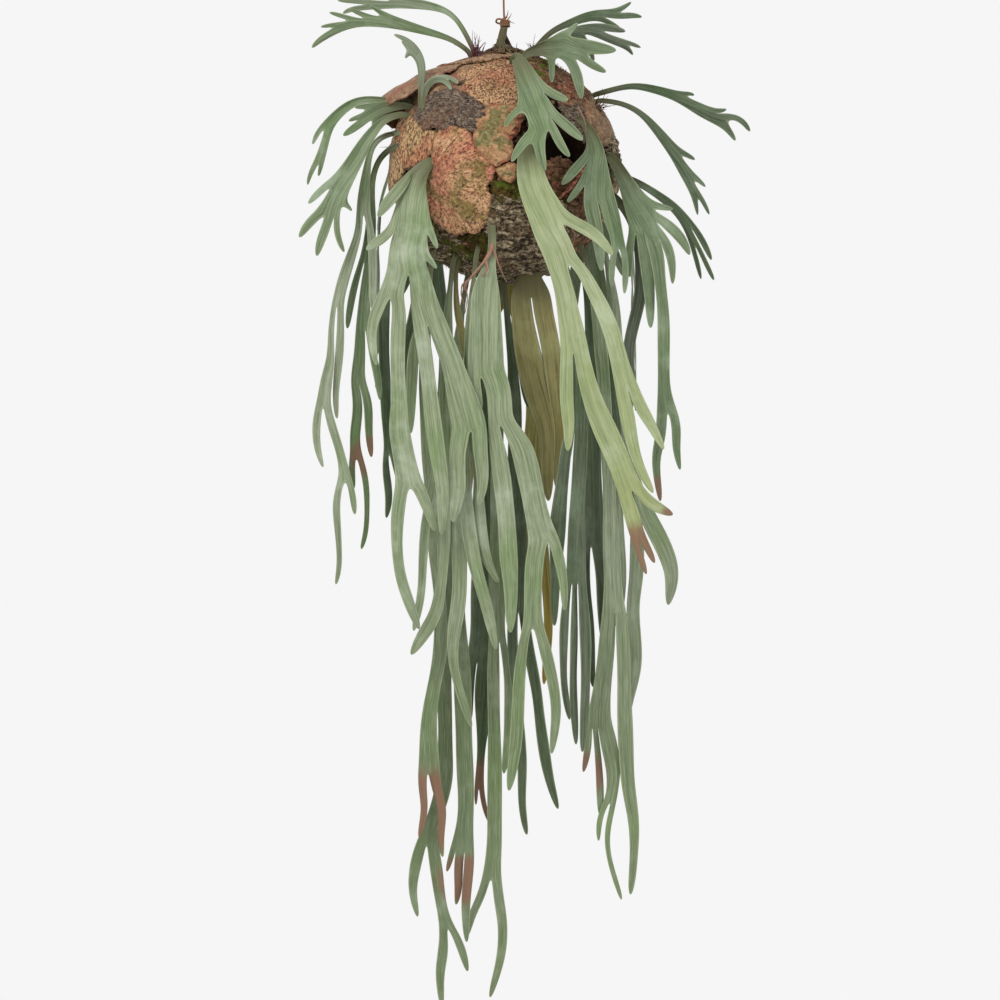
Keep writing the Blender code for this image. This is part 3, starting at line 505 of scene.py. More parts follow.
class Frond:
    # grows one frond as a sheet, by extruding a row of edges along its path and sharing it out at each fork
    def __init__(self, depth, roll, clear, chance, brown):
        self.bm = bmesh.new()
        self.depth, self.roll, self.clear, self.brown, self.tint = depth, roll, clear, brown, chance.random()
        layers = self.bm.verts.layers
        self.grain = layers.float_vector.new("grain")
        self.edge, self.run = layers.float.new("edge"), layers.float.new("run")
        self.tints, self.wither = layers.float.new("tint"), layers.float.new("wither")
        self.phase = chance.uniform(0, 6)
        self.cup = frondLook["cup"] * chance.choice((-1, 1, 1)) * chance.uniform(0.7, 1.2)

    def place(self, x, z, run, lift):
        # the path leaves the root's depth for its own, and stays clear of the ball
        root, hang = self.depth
        y = root + (hang - root) * smoothStep(run / frondLook["follow"]) + lift
        room = self.clear ** 2 - x ** 2 - (z - frondLook["ballHeight"]) ** 2
        if room > y ** 2:
            y = sqrt(room) if hang > 0 and root > 0 else -sqrt(room)
        swing, wave = frondLook["sway"]
        return Vector((x, y + swing * sin((z - frondLook["ballHeight"]) / wave)
                       * smoothStep(run / frondLook["follow"]), z))

    def profile(self, across, width, run):
        # how far a point across the blade stands off its middle plane
        off = 2 * across - 1
        cup = self.cup * width * (off * off - 0.3) * smoothStep(width / 12)
        (high, long), (waver, slow) = frondLook["ripple"], frondLook["waver"]
        wave = high * abs(off) ** 3 * sin(run / long + self.phase + (2 if off > 0 else 0))
        return cup + wave * smoothStep(width / 14) + waver * sin(run / slow + self.phase)

    def shapeRow(self, verts, at, centre, heading, width, run, side, split):
        front = Vector((0, -1, 0))
        front = (front - heading * front.dot(heading)).normalized()
        (start, end), (twist, long) = self.roll, frondLook["twist"]
        roll = radians(start + (end - start) * smoothStep(run / frondLook["rollOver"])
                       + twist * sin(run / long + self.phase))
        across = front.cross(heading) * cos(roll) - front * sin(roll)
        normal = across.cross(heading) * -1
        width = (width + frondLook["spare"]) / cos(roll)
        for vert, u in zip(verts, at):
            stand = self.profile(u, width, run)
            amount, parts = split
            for low, high in parts:
                if low <= u <= high:
                    inner = self.profile((u - low) / (high - low), width * (high - low), run)
                    stand += (inner - stand) * amount
                    break
            vert.co = (centre + across * width * (u - 0.5) + normal * stand) * mm
            vert[self.grain] = ((side + width * (u - 0.5)) * mm, run * mm, 0)
            vert[self.run] = run * mm
            vert[self.tints] = self.tint
            vert[self.wither] = max([smoothStep(1.5 - (Vector((x, z)) * mm - vert.co.xz).length / reach / mm)
                                     for x, z, reach in self.brown] + [0])

    def swell(self, run):
        # a blade's width wavers, and a stalk under the ball starts thin
        (wide, long), (alsoWide, longer) = frondLook["widthWaves"]
        ahead, over = frondLook["slimOver"]
        return ((1 + wide * sin(run / long + 2 * self.phase) + alsoWide * sin(run / longer))
                * (1 - self.slim * (1 - smoothStep((run - ahead) / over))))

    def extrudeRow(self, row):
        edges = [next(edge for edge in a.link_edges if edge.other_vert(a) is b) for a, b in zip(row, row[1:])]
        made = set(bmesh.ops.extrude_edge_only(self.bm, edges=edges)["geom"])
        return [next(edge.other_vert(vert) for edge in vert.link_edges if edge.other_vert(vert) in made)
                for vert in row]

    def grow(self, path, row, start, before, run, lift, raised, side):
        # rows along a path from the row it starts on; it drifts to the depth `raised`
        trunk, branches = splitPath(path)
        heading = (trunk[0] - start).xy
        shares = shareOut(path, heading)
        at = stations(shares)
        knots = [before, start] + trunk
        knots.append(2 * knots[-1] - knots[-2])
        total = sum((b - a).xy.length for a, b in zip(knots[1:-2], knots[2:-1]))
        done = 0
        parts = self.partsOf(branches, trunk, shares)
        for spot in range(1, len(knots) - 2):
            four = knots[spot - 1:spot + 3]
            length = (four[2] - four[1]).xy.length
            count = max(2, round(length / frondLook["rowStep"]))
            tipSpan = not branches and spot == len(knots) - 3
            for number in range(1, count + 1):
                t = number / count
                here, behind = curveThrough(*four, t), curveThrough(*four, t - 0.05)
                lift += (raised - lift) * frondLook["drift"]
                hereRun = run + length * t
                centre = self.place(here.x, here.y, hereRun, lift)
                aim = (centre - self.place(behind.x, behind.y, hereRun - length * 0.05, lift)).normalized()
                width = max(here.z, 1.2) * self.swell(hereRun)
                if tipSpan:
                    width = four[1].z + (four[2].z - four[1].z) * t ** frondLook["tipShape"]
                    if number == count:
                        width *= 0.5
                left = total - done - length * t
                row = self.extrudeRow(row)
                self.shapeRow(row, at, centre, aim, width, hereRun, side,
                              (smoothStep(1 - left / frondLook["parting"]) if branches else 0, parts))
            run += length
            done += length
        if branches:
            self.fork(branches, trunk[-1], knots[-3], row, run, lift, side, parts)

    def partsOf(self, branches, trunk, shares):
        # where each branch begins and ends across the row, from 0 to 1
        if not branches:
            return []
        heading = (trunk[-1] - trunk[-2]).xy if len(trunk) > 1 else Vector((0, -1))
        parts, taken, whole = [], 0, sum(shares)
        for branch in inOrder(branches, trunk[-1], heading):
            count = len(shareOut(branch, (pathPoint(branch[0]) - trunk[-1]).xy))
            parts.append((sum(shares[:taken]) / whole, sum(shares[:taken + count]) / whole))
            taken += count
        return parts

    def fork(self, branches, end, before, row, run, lift, side, parts):
        taken = 0
        heading = (end - before).xy
        whole = (row[0].co - row[-1].co).length / mm - frondLook["spare"]
        for number, branch in enumerate(inOrder(branches, end, heading)):
            count = len(shareOut(branch, (pathPoint(branch[0]) - end).xy)) * frondLook["columns"]
            part = row[taken:taken + count + 1]
            taken += count
            middle = (part[0].co + part[-1].co) / 2 / mm
            width = (part[0].co - part[-1].co).length / mm - frondLook["spare"]
            start = Vector((middle.x, middle.z, width))
            raised = lift + (frondLook["lift"] if number % 2 else -frondLook["lift"])
            low, high = parts[number]
            self.grow(branch, part, start, start - (start - before) * 0.5, run, lift, raised,
                      side + whole * ((low + high) / 2 - 0.5))

    def easeOutline(self):
        # rounds the corners that the forks leave in the outline, and lets the middle of the blade follow
        rim = [vert for vert in self.bm.verts if vert.is_boundary and vert[self.run] > 0]
        beside = {vert: [edge.other_vert(vert) for edge in vert.link_edges if edge.is_boundary]
                  for vert in rim}
        for _ in range(frondLook["easing"]):
            for amount in (0.5, -0.32):  # in, then part of the way out again, so that tips keep their length
                moved = {vert: vert.co.lerp((a.co + b.co) / 2, amount) for vert, (a, b) in beside.items()}
                for vert, spot in moved.items():
                    vert.co = spot
        middle = [vert for vert in self.bm.verts if not vert.is_boundary]
        for _ in range(2):
            bmesh.ops.smooth_vert(self.bm, verts=middle, factor=0.5, use_axis_x=True, use_axis_y=True,
                                  use_axis_z=True)

    def measureEdges(self):
        # each point's distance from the blade's edge, which its pale rim and painted edge highlight follow
        rim = [vert for vert in self.bm.verts if vert.is_boundary and vert[self.run] > 0]
        near = kdtree.KDTree(len(rim) * 2)
        for number, vert in enumerate(rim):
            near.insert(vert.co, number)
        middles = [edge for edge in self.bm.edges if edge.is_boundary and edge.verts[0][self.run] > 0]
        for number, edge in enumerate(middles[:len(rim)]):
            near.insert((edge.verts[0].co + edge.verts[1].co) / 2, number)
        near.balance()
        for vert in self.bm.verts:
            vert[self.edge] = near.find(vert.co)[2]


def stations(shares):
    # places of a row's points from 0 to 1, several to each share
    places, passed, whole = [0], 0, sum(shares)
    for share in shares:
        for number in range(1, frondLook["columns"] + 1):
            places.append((passed + share * number / frondLook["columns"]) / whole)
        passed += share
    return places


def frondSheet(path, depth, roll, clear, turn, chance, brown):
    frond = Frond(depth, roll, clear, chance, brown)
    start, ahead = pathPoint(path[0]), pathPoint(path[1])
    thin = start.y < frondLook["lowRoot"] and start.z < frondLook["slimWidth"]
    frond.slim = frondLook["slim"] if thin else 0
    start.z *= 1 - frond.slim
    at = stations(shareOut(path, (ahead - start).xy))
    centre = frond.place(start.x, start.y, 0, 0)
    heading = (frond.place(ahead.x, ahead.y, 0, 0) - centre).normalized()
    row = [frond.bm.verts.new() for _ in at]
    for a, b in zip(row, row[1:]):
        frond.bm.edges.new((a, b))
    frond.shapeRow(row, at, centre, heading, start.z, 0, 0, (0, []))
    frond.grow(path[1:], row, start, 2 * start - ahead, 0, 0, 0, 0)
    # the stalk turns into the ball
    inwards, step = ballMiddle - centre, frondLook["stalkStep"]
    steps = min(9, max(3, round((inwards.length - frondLook["stalkDepth"]) / step)))
    aim, width = heading, start.z
    for _ in range(steps):
        aim = (aim - inwards.normalized() * 0.6).normalized()
        centre, width = centre - aim * step, max(width * 0.88, 5)
        row = frond.extrudeRow(row)
        frond.shapeRow(row, at, centre, aim, width, 0, 0, (0, []))
    frond.easeOutline()
    frond.measureEdges()
    bmesh.ops.rotate(frond.bm, verts=frond.bm.verts, matrix=Matrix.Rotation(radians(turn), 3, "Z"))
    bmesh.ops.recalc_face_normals(frond.bm, faces=frond.bm.faces)
    return frond.bm


# colour, depths of root and hanging blade, roll at root and tips, path; a list inside a path is a branch.
# After the path: distance kept from the ball's centre, and a turn of the whole frond round the ball.
fronds = {
    "frond_top_left_high": ("fern", (-4, 8), (0, -28), [
        (-38, -108, 5), (-46, -92, 5), (-56, -75, 5), (-70, -62, 6), (-100, -55, 10), (-130, -52, 14),
        [(-150, -43, 9), (-172, -36)], (-160, -56, 11), [(-184, -50, 7), (-204, -50)], (-188, -60, 7),
        (-196, -68)]),
    "frond_top_left_low": ("fern", (-20, -20), (0, 15), [
        (-44, -112, 5), (-55, -103, 5), (-72, -95, 6), (-100, -87, 8), (-120, -81, 11), (-142, -76, 15),
        [(-155, -62, 5), (-164, -56)], (-163, -76, 13), [(-179, -65, 6), (-189, -60)], (-181, -78, 11),
        [(-199, -69, 6), (-214, -65)], (-198, -83, 11), [(-213, -82, 5), (-223, -84)],
        (-211, -93, 8), (-225, -99, 7), (-233, -112)]),
    "frond_crown_small": ("fern", (-62, -72), (0, 0), [
        (-98, -180, 8), (-98, -162, 9),
        [(-88, -147, 9), (-72, -144, 10), [(-60, -150, 6), (-53, -156)], [(-66, -156, 6), (-62, -164)]],
        [(-98, -143, 8), (-99, -125, 8), [(-112, -114, 8), [(-119, -107, 5), (-124, -101)],
         [(-116, -119, 5), (-119, -125)]], (-107, -108, 6), (-118, -100, 5), (-135, -94)]], 144),
    "frond_left_arch": ("fern", (-28, -22), (0, 30), [
        (-119, -172, 5), (-142, -172, 5), (-165, -170, 7), (-182, -175, 9), (-198, -186, 11),
        (-212, -202, 12), [(-225, -210, 6), (-231, -228)], (-215, -222, 9), (-221, -242, 9),
        [(-221, -255, 5), (-224, -266)], [(-229, -253, 6), (-236, -264, 4), (-236, -277)]]),
    "frond_left_broad_small": ("fern", (-44, -38), (0, 10), [
        (-119, -179, 7), (-140, -180, 12), (-158, -187, 22), [(-155, -200, 7), (-159, -209)],
        [(-171, -180, 6), (-182, -182)], (-169, -196, 12), [(-180, -193, 6), (-189, -199)],
        (-180, -205, 10), (-196, -217)]),
    "frond_left_palmate": ("fern", (-52, -58), (-4, -22), [
        (-124, -190, 7), (-140, -192, 8), (-152, -204, 10), (-165, -222, 14), (-178, -245, 17),
        (-190, -265, 21), (-197, -276, 26), [(-218, -280, 9), (-237, -300)],
        (-203, -292, 24), [(-184, -300, 7), (-182, -308)], (-208, -306, 26),
        [(-228, -315, 12), (-240, -328, 9), (-247, -341)], [(-214, -328, 12), (-221, -345, 9), (-225, -363)],
        [(-202, -326, 8), (-198, -342, 6), (-190, -358)]]),
    "frond_left_long_front": ("sage", (-34, -30), (-6, -30), [
        (-129, -212, 5), (-146, -214, 5), (-158, -226, 5), (-163, -245, 6), (-166, -265, 9),
        (-168, -288, 14), (-169, -303, 15),
        [(-174, -330, 8), (-181, -352, 10), (-192, -385, 13), (-199, -412, 13),
         [(-207, -440, 6), (-208, -460, 6), (-208, -482, 8), (-213, -508, 13), (-216, -534, 14),
          [(-225, -562, 9), (-224, -590, 7), (-216, -616)],
          [(-207, -560, 9), (-197, -592, 9), (-190, -622, 12),
           [(-201, -652, 8), (-199, -695, 7), (-197, -735, 6), (-203, -757)],
           [(-181, -645, 7), (-179, -673)]]],
         [(-196, -440, 8), (-197, -470, 9), (-200, -502, 8), (-202, -530, 6), (-200, -558)]],
        [(-160, -328, 8), (-158, -350, 10), (-157, -380, 10), (-158, -410, 8), (-156, -432)]]),
    "frond_left_long_back": ("fern", (-14, -8), (12, 32), [
        (-132, -228, 6), (-148, -238, 6), (-158, -262, 6), (-160, -290, 7), (-161, -330, 12),
        (-165, -360, 14), [(-181, -398, 8), (-187, -430, 7), (-189, -449)], (-167, -400, 12),
        (-170, -440, 16), [(-158, -478, 8), (-152, -505, 8), (-149, -536)],
        (-174, -480, 13), (-177, -508, 16),
        [(-164, -535, 10), (-163, -570, 8), (-159, -604)],
        [(-176, -540, 11), (-180, -575, 11), (-178, -595, 10), [(-184, -615, 7), (-180, -642)],
         [(-167, -625, 7), (-165, -655, 6), (-166, -690, 5), (-173, -714)]]]),
    "frond_left_inner_back": ("deep", (6, 16), (20, 40), [
        (-112, -335, 8), (-126, -352, 9), (-140, -390, 12), (-145, -450, 13), (-142, -510, 12),
        (-142, -555, 10), (-139, -590, 9), [(-130, -612, 6), (-126, -635)], (-142, -615, 7),
        (-138, -650, 7), (-143, -677)]),
    "frond_front_left_large": ("sage", (-108, -134), (-10, -8), [
        (-92, -252, 14), (-103, -262, 20), [(-122, -278, 13), (-138, -296, 13), (-152, -318)],
        (-107, -280, 28),
        (-111, -308, 38), (-112, -326, 46), [(-138, -337, 13), (-152, -345, 11), (-167, -356)],
        [(-84, -342, 9), (-78, -357)], (-114, -346, 44), (-115, -362, 48), [(-85, -368, 8), (-79, -380)],
        (-116, -376, 48),
        [(-130, -390, 28), (-135, -406, 27), [(-149, -422, 15), (-158, -445, 12), (-156, -475, 8),
        (-151, -495)],
         [(-125, -426, 16), (-127, -465, 17), (-127, -500, 18), (-125, -540, 18), (-126, -565, 22),
          (-120, -600, 25), (-114, -630, 30), [(-126, -660, 15), (-128, -700, 13), (-124, -740, 13),
                                              (-114, -772, 12), (-100, -809)],
          [(-98, -645, 14), (-89, -668, 10), (-82, -692)]]],
        [(-100, -394, 27), (-96, -416, 32), (-91, -436, 36),
         [(-97, -462, 18), (-92, -500, 18), (-87, -540, 18), (-83, -575, 19), (-78, -608, 19),
          (-73, -645, 14), (-75, -697)],
         [(-75, -456, 24), (-63, -488, 27), (-54, -520, 32), (-46, -548, 37), (-42, -564, 38),
          [(-57, -598, 21), (-55, -640, 18), (-62, -682)], [(-29, -596, 18), (-25, -628, 13),
          (-31, -662)]]]]),
    "frond_front_centre": ("sage", (-118, -122), (0, 4), [
        (-15, -326, 8), (-14, -350, 8), (-15, -364, 8), (-19, -380, 15), (-22, -400, 30), (-22, -440, 38),
        (-22, -480, 42), (-22, -498, 42), [(-35, -518, 16), (-32, -534, 12), (-26, -548)],
        (-6, -522, 30), (-5, -556, 31),
        [(-7, -598, 20), (-1, -640, 21), (3, -680, 21), (5, -720, 21), (8, -762, 16), (7, -814)],
        [(20, -586, 25), (29, -620, 26), (35, -650, 26), (41, -680, 29), (47, -696, 32),
         [(65, -722, 13), (71, -752, 9), (72, -787)],
         [(36, -722, 21), (34, -760, 21), (34, -797, 23), [(21, -832, 12), (17, -880, 14), (15, -925, 15),
                                                         (12, -956, 13), (5, -1002)],
          [(49, -832, 14), (58, -870, 12), (62, -905, 11), (56, -958)]]]]),
    "frond_front_right_over": ("fern", (-60, -160), (0, 0), [
        (15, -122, 13), (21, -135, 18), (28, -152, 25), (34, -167, 33), [(62, -172, 12), (79, -178)],
        (36, -182, 38), [(6, -194, 9), (0, -213)], (44, -196, 34), [(76, -209, 13), (96, -227)],
        (46, -208, 30), [(64, -226, 11), (80, -247)], (36, -222, 26),
        [(14, -240, 9), (7, -254)], [(43, -244, 11), (50, -265)]], 155),
    "frond_front_right_long": ("lime", (-140, -149), (4, -6), [
        (26, -226, 14), (30, -255, 30), (35, -280, 36), (46, -304, 40), (56, -324, 44),
        [(90, -326, 15), (111, -338, 13), (131, -364)], (62, -350, 36), (68, -368, 35),
        [(92, -378, 14), (105, -402, 17), (119, -430, 18), (130, -460, 19), (138, -492, 22), (143, -510, 25),
         [(160, -538, 14), (176, -565, 10), (191, -595)], [(145, -546, 16), (151, -580, 14), (161, -614, 11),
                                                          (179, -647)]],
        [(71, -400, 24), (76, -430, 26), (81, -455, 29), (83, -470, 30), [(74, -495, 16), (74, -535, 16),
                                                                        (77, -565, 12), (75, -597)],
         [(95, -495, 19), (104, -530, 22), (118, -565, 25), (134, -600, 27), (147, -634, 29),
          [(172, -655, 15), (204, -671)], [(151, -668, 18), (158, -694, 16), [(172, -712, 8), (180, -730)],
                                          [(163, -722, 7), (170, -744)]]]]], 150),
    "frond_right_fan_inner": ("fern", (-92, -106), (10, 22), [
        (96, -202, 9), (105, -218, 12), (110, -234, 20), [(88, -254, 13), (66, -279)], (110, -254, 26),
        (109, -272, 36), [(84, -288, 9), (72, -300)], (112, -290, 36),
        [(129, -318, 18), (136, -345, 13), [(145, -372, 8), (143, -410)], (128, -372, 8), (128, -402)],
        [(108, -322, 16), (113, -350, 13), (116, -382)]]),
    "frond_right_fan_outer": ("fern", (-58, -80), (10, 26), [
        (130, -244, 12), (144, -268, 16), (154, -290, 26), (163, -306, 36), [(190, -303, 9), (206, -305)],
        (168, -320, 34), [(149, -352, 10), (150, -390)], [(199, -326, 13), (214, -342, 10), (223, -363)],
        [(167, -352, 14), (172, -392, 15), (174, -422, 11), (175, -450)],
        (179, -336, 22), [(196, -350, 11), (201, -374, 8), (201, -398)],
        (181, -352, 17), (185, -385, 14), (190, -430, 14),
        (190, -472, 13), (190, -512, 15), (193, -540, 20), [(187, -572, 10), (180, -604, 10), (187, -657)],
        [(206, -562, 9), (204, -590, 8), (211, -620)]]),
    "frond_right_hanging_thin": ("deep", (-44, -58), (10, 34), [
        (133, -290, 9), (150, -312, 9), (162, -350, 12), (163, -400, 14), (157, -432, 14), (150, -462, 13),
        (148, -488, 15), [(143, -505, 6), (144, -520)], [(154, -508, 6), (158, -532)]]),
    "frond_right_arch_high": ("deep", (6, 14), (0, -20), [
        (111, -163, 5), (124, -160, 5), (140, -155, 5), (158, -153, 6), (176, -156, 8), (196, -161, 10),
        (214, -168, 12), [(224, -160, 6), (231, -166)], (232, -179, 14), (248, -188, 15),
        [(262, -184, 6), (270, -180)], (262, -194, 14), [(284, -190, 7), (298, -211)], [(272, -206, 7),
        (280, -222)]]),
    "frond_right_arch_low": ("deep", (-18, -18), (0, 25), [
        (117, -172, 5), (135, -174, 5), (150, -178, 5), (165, -187, 6), (179, -202, 8), (194, -220, 11),
        (206, -236, 13), [(222, -238, 7), (232, -245)], (214, -252, 14), (222, -266, 15),
        [(236, -268, 6), (244, -279)], (230, -284, 11), [(242, -298, 5), (248, -313)], [(231, -298, 5),
        (233, -314)]]),
    "frond_right_low_arch": ("deep", (-22, -30), (0, 18), [
        (135, -262, 7), (150, -266, 7), (166, -273, 7), (183, -285, 8), (202, -298, 10), (220, -320, 11),
        [(236, -336, 7), (243, -350, 6), (250, -367)], (227, -342, 9), [(232, -368, 5), (237, -391)],
        [(245, -374, 5), (253, -391)]]),
    "frond_top_right_high": ("deep", (10, 22), (0, 15), [
        (41, -104, 5), (50, -93, 5), (62, -84, 6), (80, -77, 8), (96, -70, 10), (115, -66, 11),
        [(134, -80, 6), (143, -86)], (132, -67, 10), [(146, -58, 6), (156, -49)], (146, -68, 8),
        (158, -66, 6),
        (169, -71)]),
    "frond_top_right_mid": ("deep", (-12, -6), (0, -15), [
        (45, -110, 5), (56, -99, 6), (70, -92, 8), (90, -87, 12), [(102, -106, 8), (109, -128)],
        (112, -86, 16), [(130, -99, 9), (145, -103, 8), [(152, -110, 5), (156, -119)], [(157, -104, 5),
        (167, -109)]],
        (128, -84, 9), (150, -89)]),
    "frond_top_right_broad": ("fern", (-52, -66), (0, 10), [
        (28, -117, 9), (43, -111, 12), (56, -110, 22), [(57, -135, 9), (57, -158)], (70, -107, 32),
        [(85, -88, 8), (89, -78)], (82, -114, 34), [(88, -142, 14), (90, -158, 10), (93, -176)],
        (95, -113, 26),
        [(108, -133, 9), (125, -141)], (110, -111, 15), (138, -114)], 150),
    "frond_olive_pair": ("olive", (-40, -44), (-4, 16), [
        (30, -390, 34), (31, -402, 46),
        [(21, -424, 25), (26, -463, 30), (38, -517, 31), (51, -566, 24), (52, -608, 16), (53, -657)],
        [(47, -426, 23), (55, -463, 22), (62, -517, 20), (67, -560, 17), (66, -600, 12), (62, -640)]]),
    "frond_olive_left": ("olive", (-62, -66), (0, -18), [
        (-58, -380, 9), (-57, -420, 11), (-50, -455, 10), (-44, -492)]),
    "frond_low_centre_right": ("deep", (-60, -92), (0, 26), [
        (76, -378, 9), (84, -420, 12), (88, -500, 15), (88, -560, 24),
        [(73, -600, 13), (66, -670, 18), (62, -730, 13), (60, -806)], (89, -640, 18), (87, -700, 18),
        (86, -745, 24), [(84, -800, 7), (83, -870, 9), (86, -948)],
        [(73, -790, 9), (71, -830, 9), (72, -872, 8), (79, -918)],
        [(97, -800, 12), (98, -850, 13), (97, -900, 10), (93, -957)]]),
    "frond_low_right_dark": ("deep", (-30, -34), (0, 30), [
        (92, -368, 11), (101, -405, 16), (106, -440, 22), [(125, -490, 13), (131, -530, 12), (140, -600)],
        (105, -500, 17), (106, -560, 20), (107, -620, 22), (108, -700, 25),
        [(99, -760, 10), (104, -820, 10), (107, -880)], (120, -742, 19), (122, -782, 17), (120, -832)]),
    "frond_low_right_pair": ("sage", (-10, 6), (14, 30), [
        (118, -336, 10), (130, -400, 14), (137, -480, 16), (143, -560, 18), (147, -620, 28),
        [(170, -664, 18), (191, -704, 20), (203, -742, 17), (197, -782)], [(136, -680, 16),
        (139, -730, 17), (140, -762, 14), (137, -814)],
        [(160, -680, 14), (160, -740, 17), (156, -782, 16), (159, -850, 15), (151, -892, 12), (142, -942)]]),
    "frond_low_right_long": ("sage", (-50, -48), (0, 22), [
        (98, -362, 11), (112, -440, 14), (120, -520, 15), (125, -620, 15), (128, -720, 18), (131, -780, 27),
        [(120, -850, 20), (115, -895, 24), (113, -920, 28), [(100, -952, 8), (94, -982)],
         [(113, -965, 7), (115, -1000, 8), (115, -1034)],
         [(125, -945, 18), (131, -978, 16), (129, -1008, 12), [(114, -1032, 6), (113, -1064)],
          [(124, -1045, 6), (125, -1078, 5), (142, -1135)]]],
        [(143, -850, 17), (145, -940, 17), (148, -990, 16), (155, -1040, 12), (155, -1085, 9),
        (151, -1129)]]),
    "frond_low_centre_brown": ("deep", (-24, -20), (-10, -24), [
        (0, -399, 11), (6, -450, 13), (13, -492, 18), [(24, -520, 7), (30, -544)],
        (13, -545, 16), (14, -620, 18), (20, -700, 18), (18, -780, 24),
        [(12, -850, 12), (19, -905, 9), (22, -960, 10), (22, -1020, 8), (28, -1058)],
        [(32, -840, 12), (40, -885, 12), (47, -940, 13), (54, -985, 10), (66, -1027)]]),
    "frond_low_left_fork": ("sage", (-68, -78), (0, -24), [
        (-62, -372, 10), (-68, -440, 14), (-68, -520, 18), (-68, -590, 28),
        [(-86, -636, 9), (-93, -677, 9), (-97, -720, 10), (-99, -766, 9), (-109, -812)],
        [(-71, -660, 15), (-73, -725, 14), (-80, -785, 14), (-96, -812, 14), (-113, -840)],
        [(-56, -650, 16), (-54, -700, 18), (-53, -765, 18), (-60, -812, 15), (-61, -842, 13), (-54, -875, 10),
         (-38, -927)]]),
    "frond_low_left_slim": ("sage", (-96, -104), (0, -14), [
        (-34, -366, 9), (-40, -430, 12), (-42, -520, 14), (-42, -590, 18),
        [(-46, -645, 15), (-42, -692, 16), (-34, -735, 16), (-22, -775, 14), (-9, -834)],
        [(-30, -645, 11), (-27, -700, 13), (-18, -732, 10), (-5, -753)]]),
    "frond_low_left_long": ("sage", (-42, -46), (-10, -30), [
        (-86, -362, 10), (-95, -430, 18), [(-108, -470, 12), (-111, -520, 12), (-112, -576)],
        (-94, -520, 16), (-88, -620, 16), (-80, -720, 16), (-75, -790, 15),
        (-77, -840, 16), (-88, -905, 17), (-90, -945, 20), (-89, -972, 24),
        [(-98, -996, 9), (-95, -1022, 7), (-103, -1060)], [(-80, -1000, 11), (-73, -1025, 9), (-77, -1055, 8),
                                                          (-73, -1084)]]),
    "frond_low_left_deep": ("sage", (-20, -24), (8, 22), [
        (-46, -392, 10), (-56, -470, 14), (-60, -580, 16), (-60, -700, 18), (-60, -790, 24),
        [(-51, -860, 20), (-50, -925, 20), (-47, -1000, 17), (-48, -1040, 20), (-50, -1068, 26),
         [(-64, -1082, 6), (-70, -1102)], [(-56, -1098, 9), (-55, -1120, 8), (-59, -1142)],
         [(-43, -1096, 10), (-47, -1135, 11), (-45, -1187)]],
        [(-73, -860, 17), (-72, -930, 17), (-73, -990, 17), (-84, -1030, 18), (-92, -1060, 23),
         [(-107, -1090, 12), (-111, -1122, 9), (-103, -1156)],
         [(-82, -1096, 13), (-78, -1130, 13), (-71, -1160, 15), [(-73, -1190, 11), (-78, -1222, 9),
         (-74, -1266)],
          [(-53, -1186, 9), (-43, -1222)]]]]),
    "frond_low_middle_long": ("sage", (4, 0), (0, 20), [
        (-6, -399, 10), (-9, -480, 13), (-8, -600, 15), (-10, -720, 15), (-9, -815, 20),
        [(4, -860, 9), (5, -905, 11), (4, -945, 9), (-1, -985)],
        [(-14, -870, 14), (-12, -935, 15), (-12, -1000, 16), (-12, -1060, 17), (-15, -1100, 20),
         [(-28, -1130, 10), (-38, -1148, 8), (-46, -1182)],
         [(-7, -1130, 12), (-2, -1162, 11), (-4, -1200, 10), (-18, -1254)]]]),
    "frond_low_middle_dark": ("deep", (24, 22), (0, 10), [
        (-16, -396, 12), (-22, -480, 18), (-24, -600, 24), (-22, -720, 30), (-21, -800, 36), (-26, -842, 38),
        [(-44, -882, 15), (-41, -924)], (-22, -886, 26), (-27, -950, 9),
        (-30, -992, 9), [(-25, -1018, 5), (-17, -1044)], [(-34, -1008, 4), (-34, -1024)]]),
    "frond_back_left": ("deep", (86, 108), (0, 24), [
        (-74, -300, 12), (-84, -320, 24), (-92, -345, 34), [(-114, -374, 10), (-126, -408)],
        (-90, -372, 30), [(-106, -420, 16), (-122, -490, 17), (-120, -550, 15), (-124, -590, 10),
        (-118, -640)],
        [(-78, -410, 16), (-70, -480, 18), (-72, -560, 22), [(-84, -610, 12), (-88, -680)],
         [(-62, -615, 13), (-58, -690, 10), (-66, -764)]]], 145),
    "frond_back_centre": ("olive", (112, 122), (0, 0), [
        (6, -318, 12), (4, -345, 18), (0, -375, 32), (2, -410, 40), [(-22, -450, 18), (-32, -520, 20),
         (-34, -600, 22), [(-46, -650, 11), (-50, -720)], [(-26, -660, 12), (-20, -740, 9), (-26, -806)]],
        [(26, -455, 20), (36, -530, 20), (34, -610, 22), (38, -680, 24), [(24, -730, 12), (20, -800)],
         [(50, -735, 12), (54, -810, 10), (48, -880)]]], 146),
    "frond_back_right": ("fern", (84, 106), (0, -24), [
        (92, -262, 12), (100, -290, 24), (104, -320, 34), [(132, -346, 11), (146, -384)], (100, -350, 32),
        [(116, -395, 16), (124, -460, 17), (120, -540, 20), [(134, -590, 10), (136, -640)],
         [(112, -600, 12), (108, -670, 8), (114, -728)]], [(84, -400, 14), (78, -470, 16), (82, -550, 12),
                                                          (74, -622)]], 150),
    "frond_back_crown": ("sage", (56, 128), (0, 0), [
        (-30, -136, 12), (-36, -160, 22), (-40, -190, 34), [(-70, -208, 11), (-84, -236)], (-34, -214, 34),
        [(-8, -240, 11), (2, -268)], (-44, -238, 28), [(-62, -274, 12), (-70, -312)],
        [(-34, -276, 12), (-32, -324)]], 154),
    "frond_right_side": ("fern", (-128, -152), (0, 12), [
        (44, -206, 10), (48, -226, 20), (50, -252, 34), [(76, -276, 11), (84, -312)], (50, -282, 36),
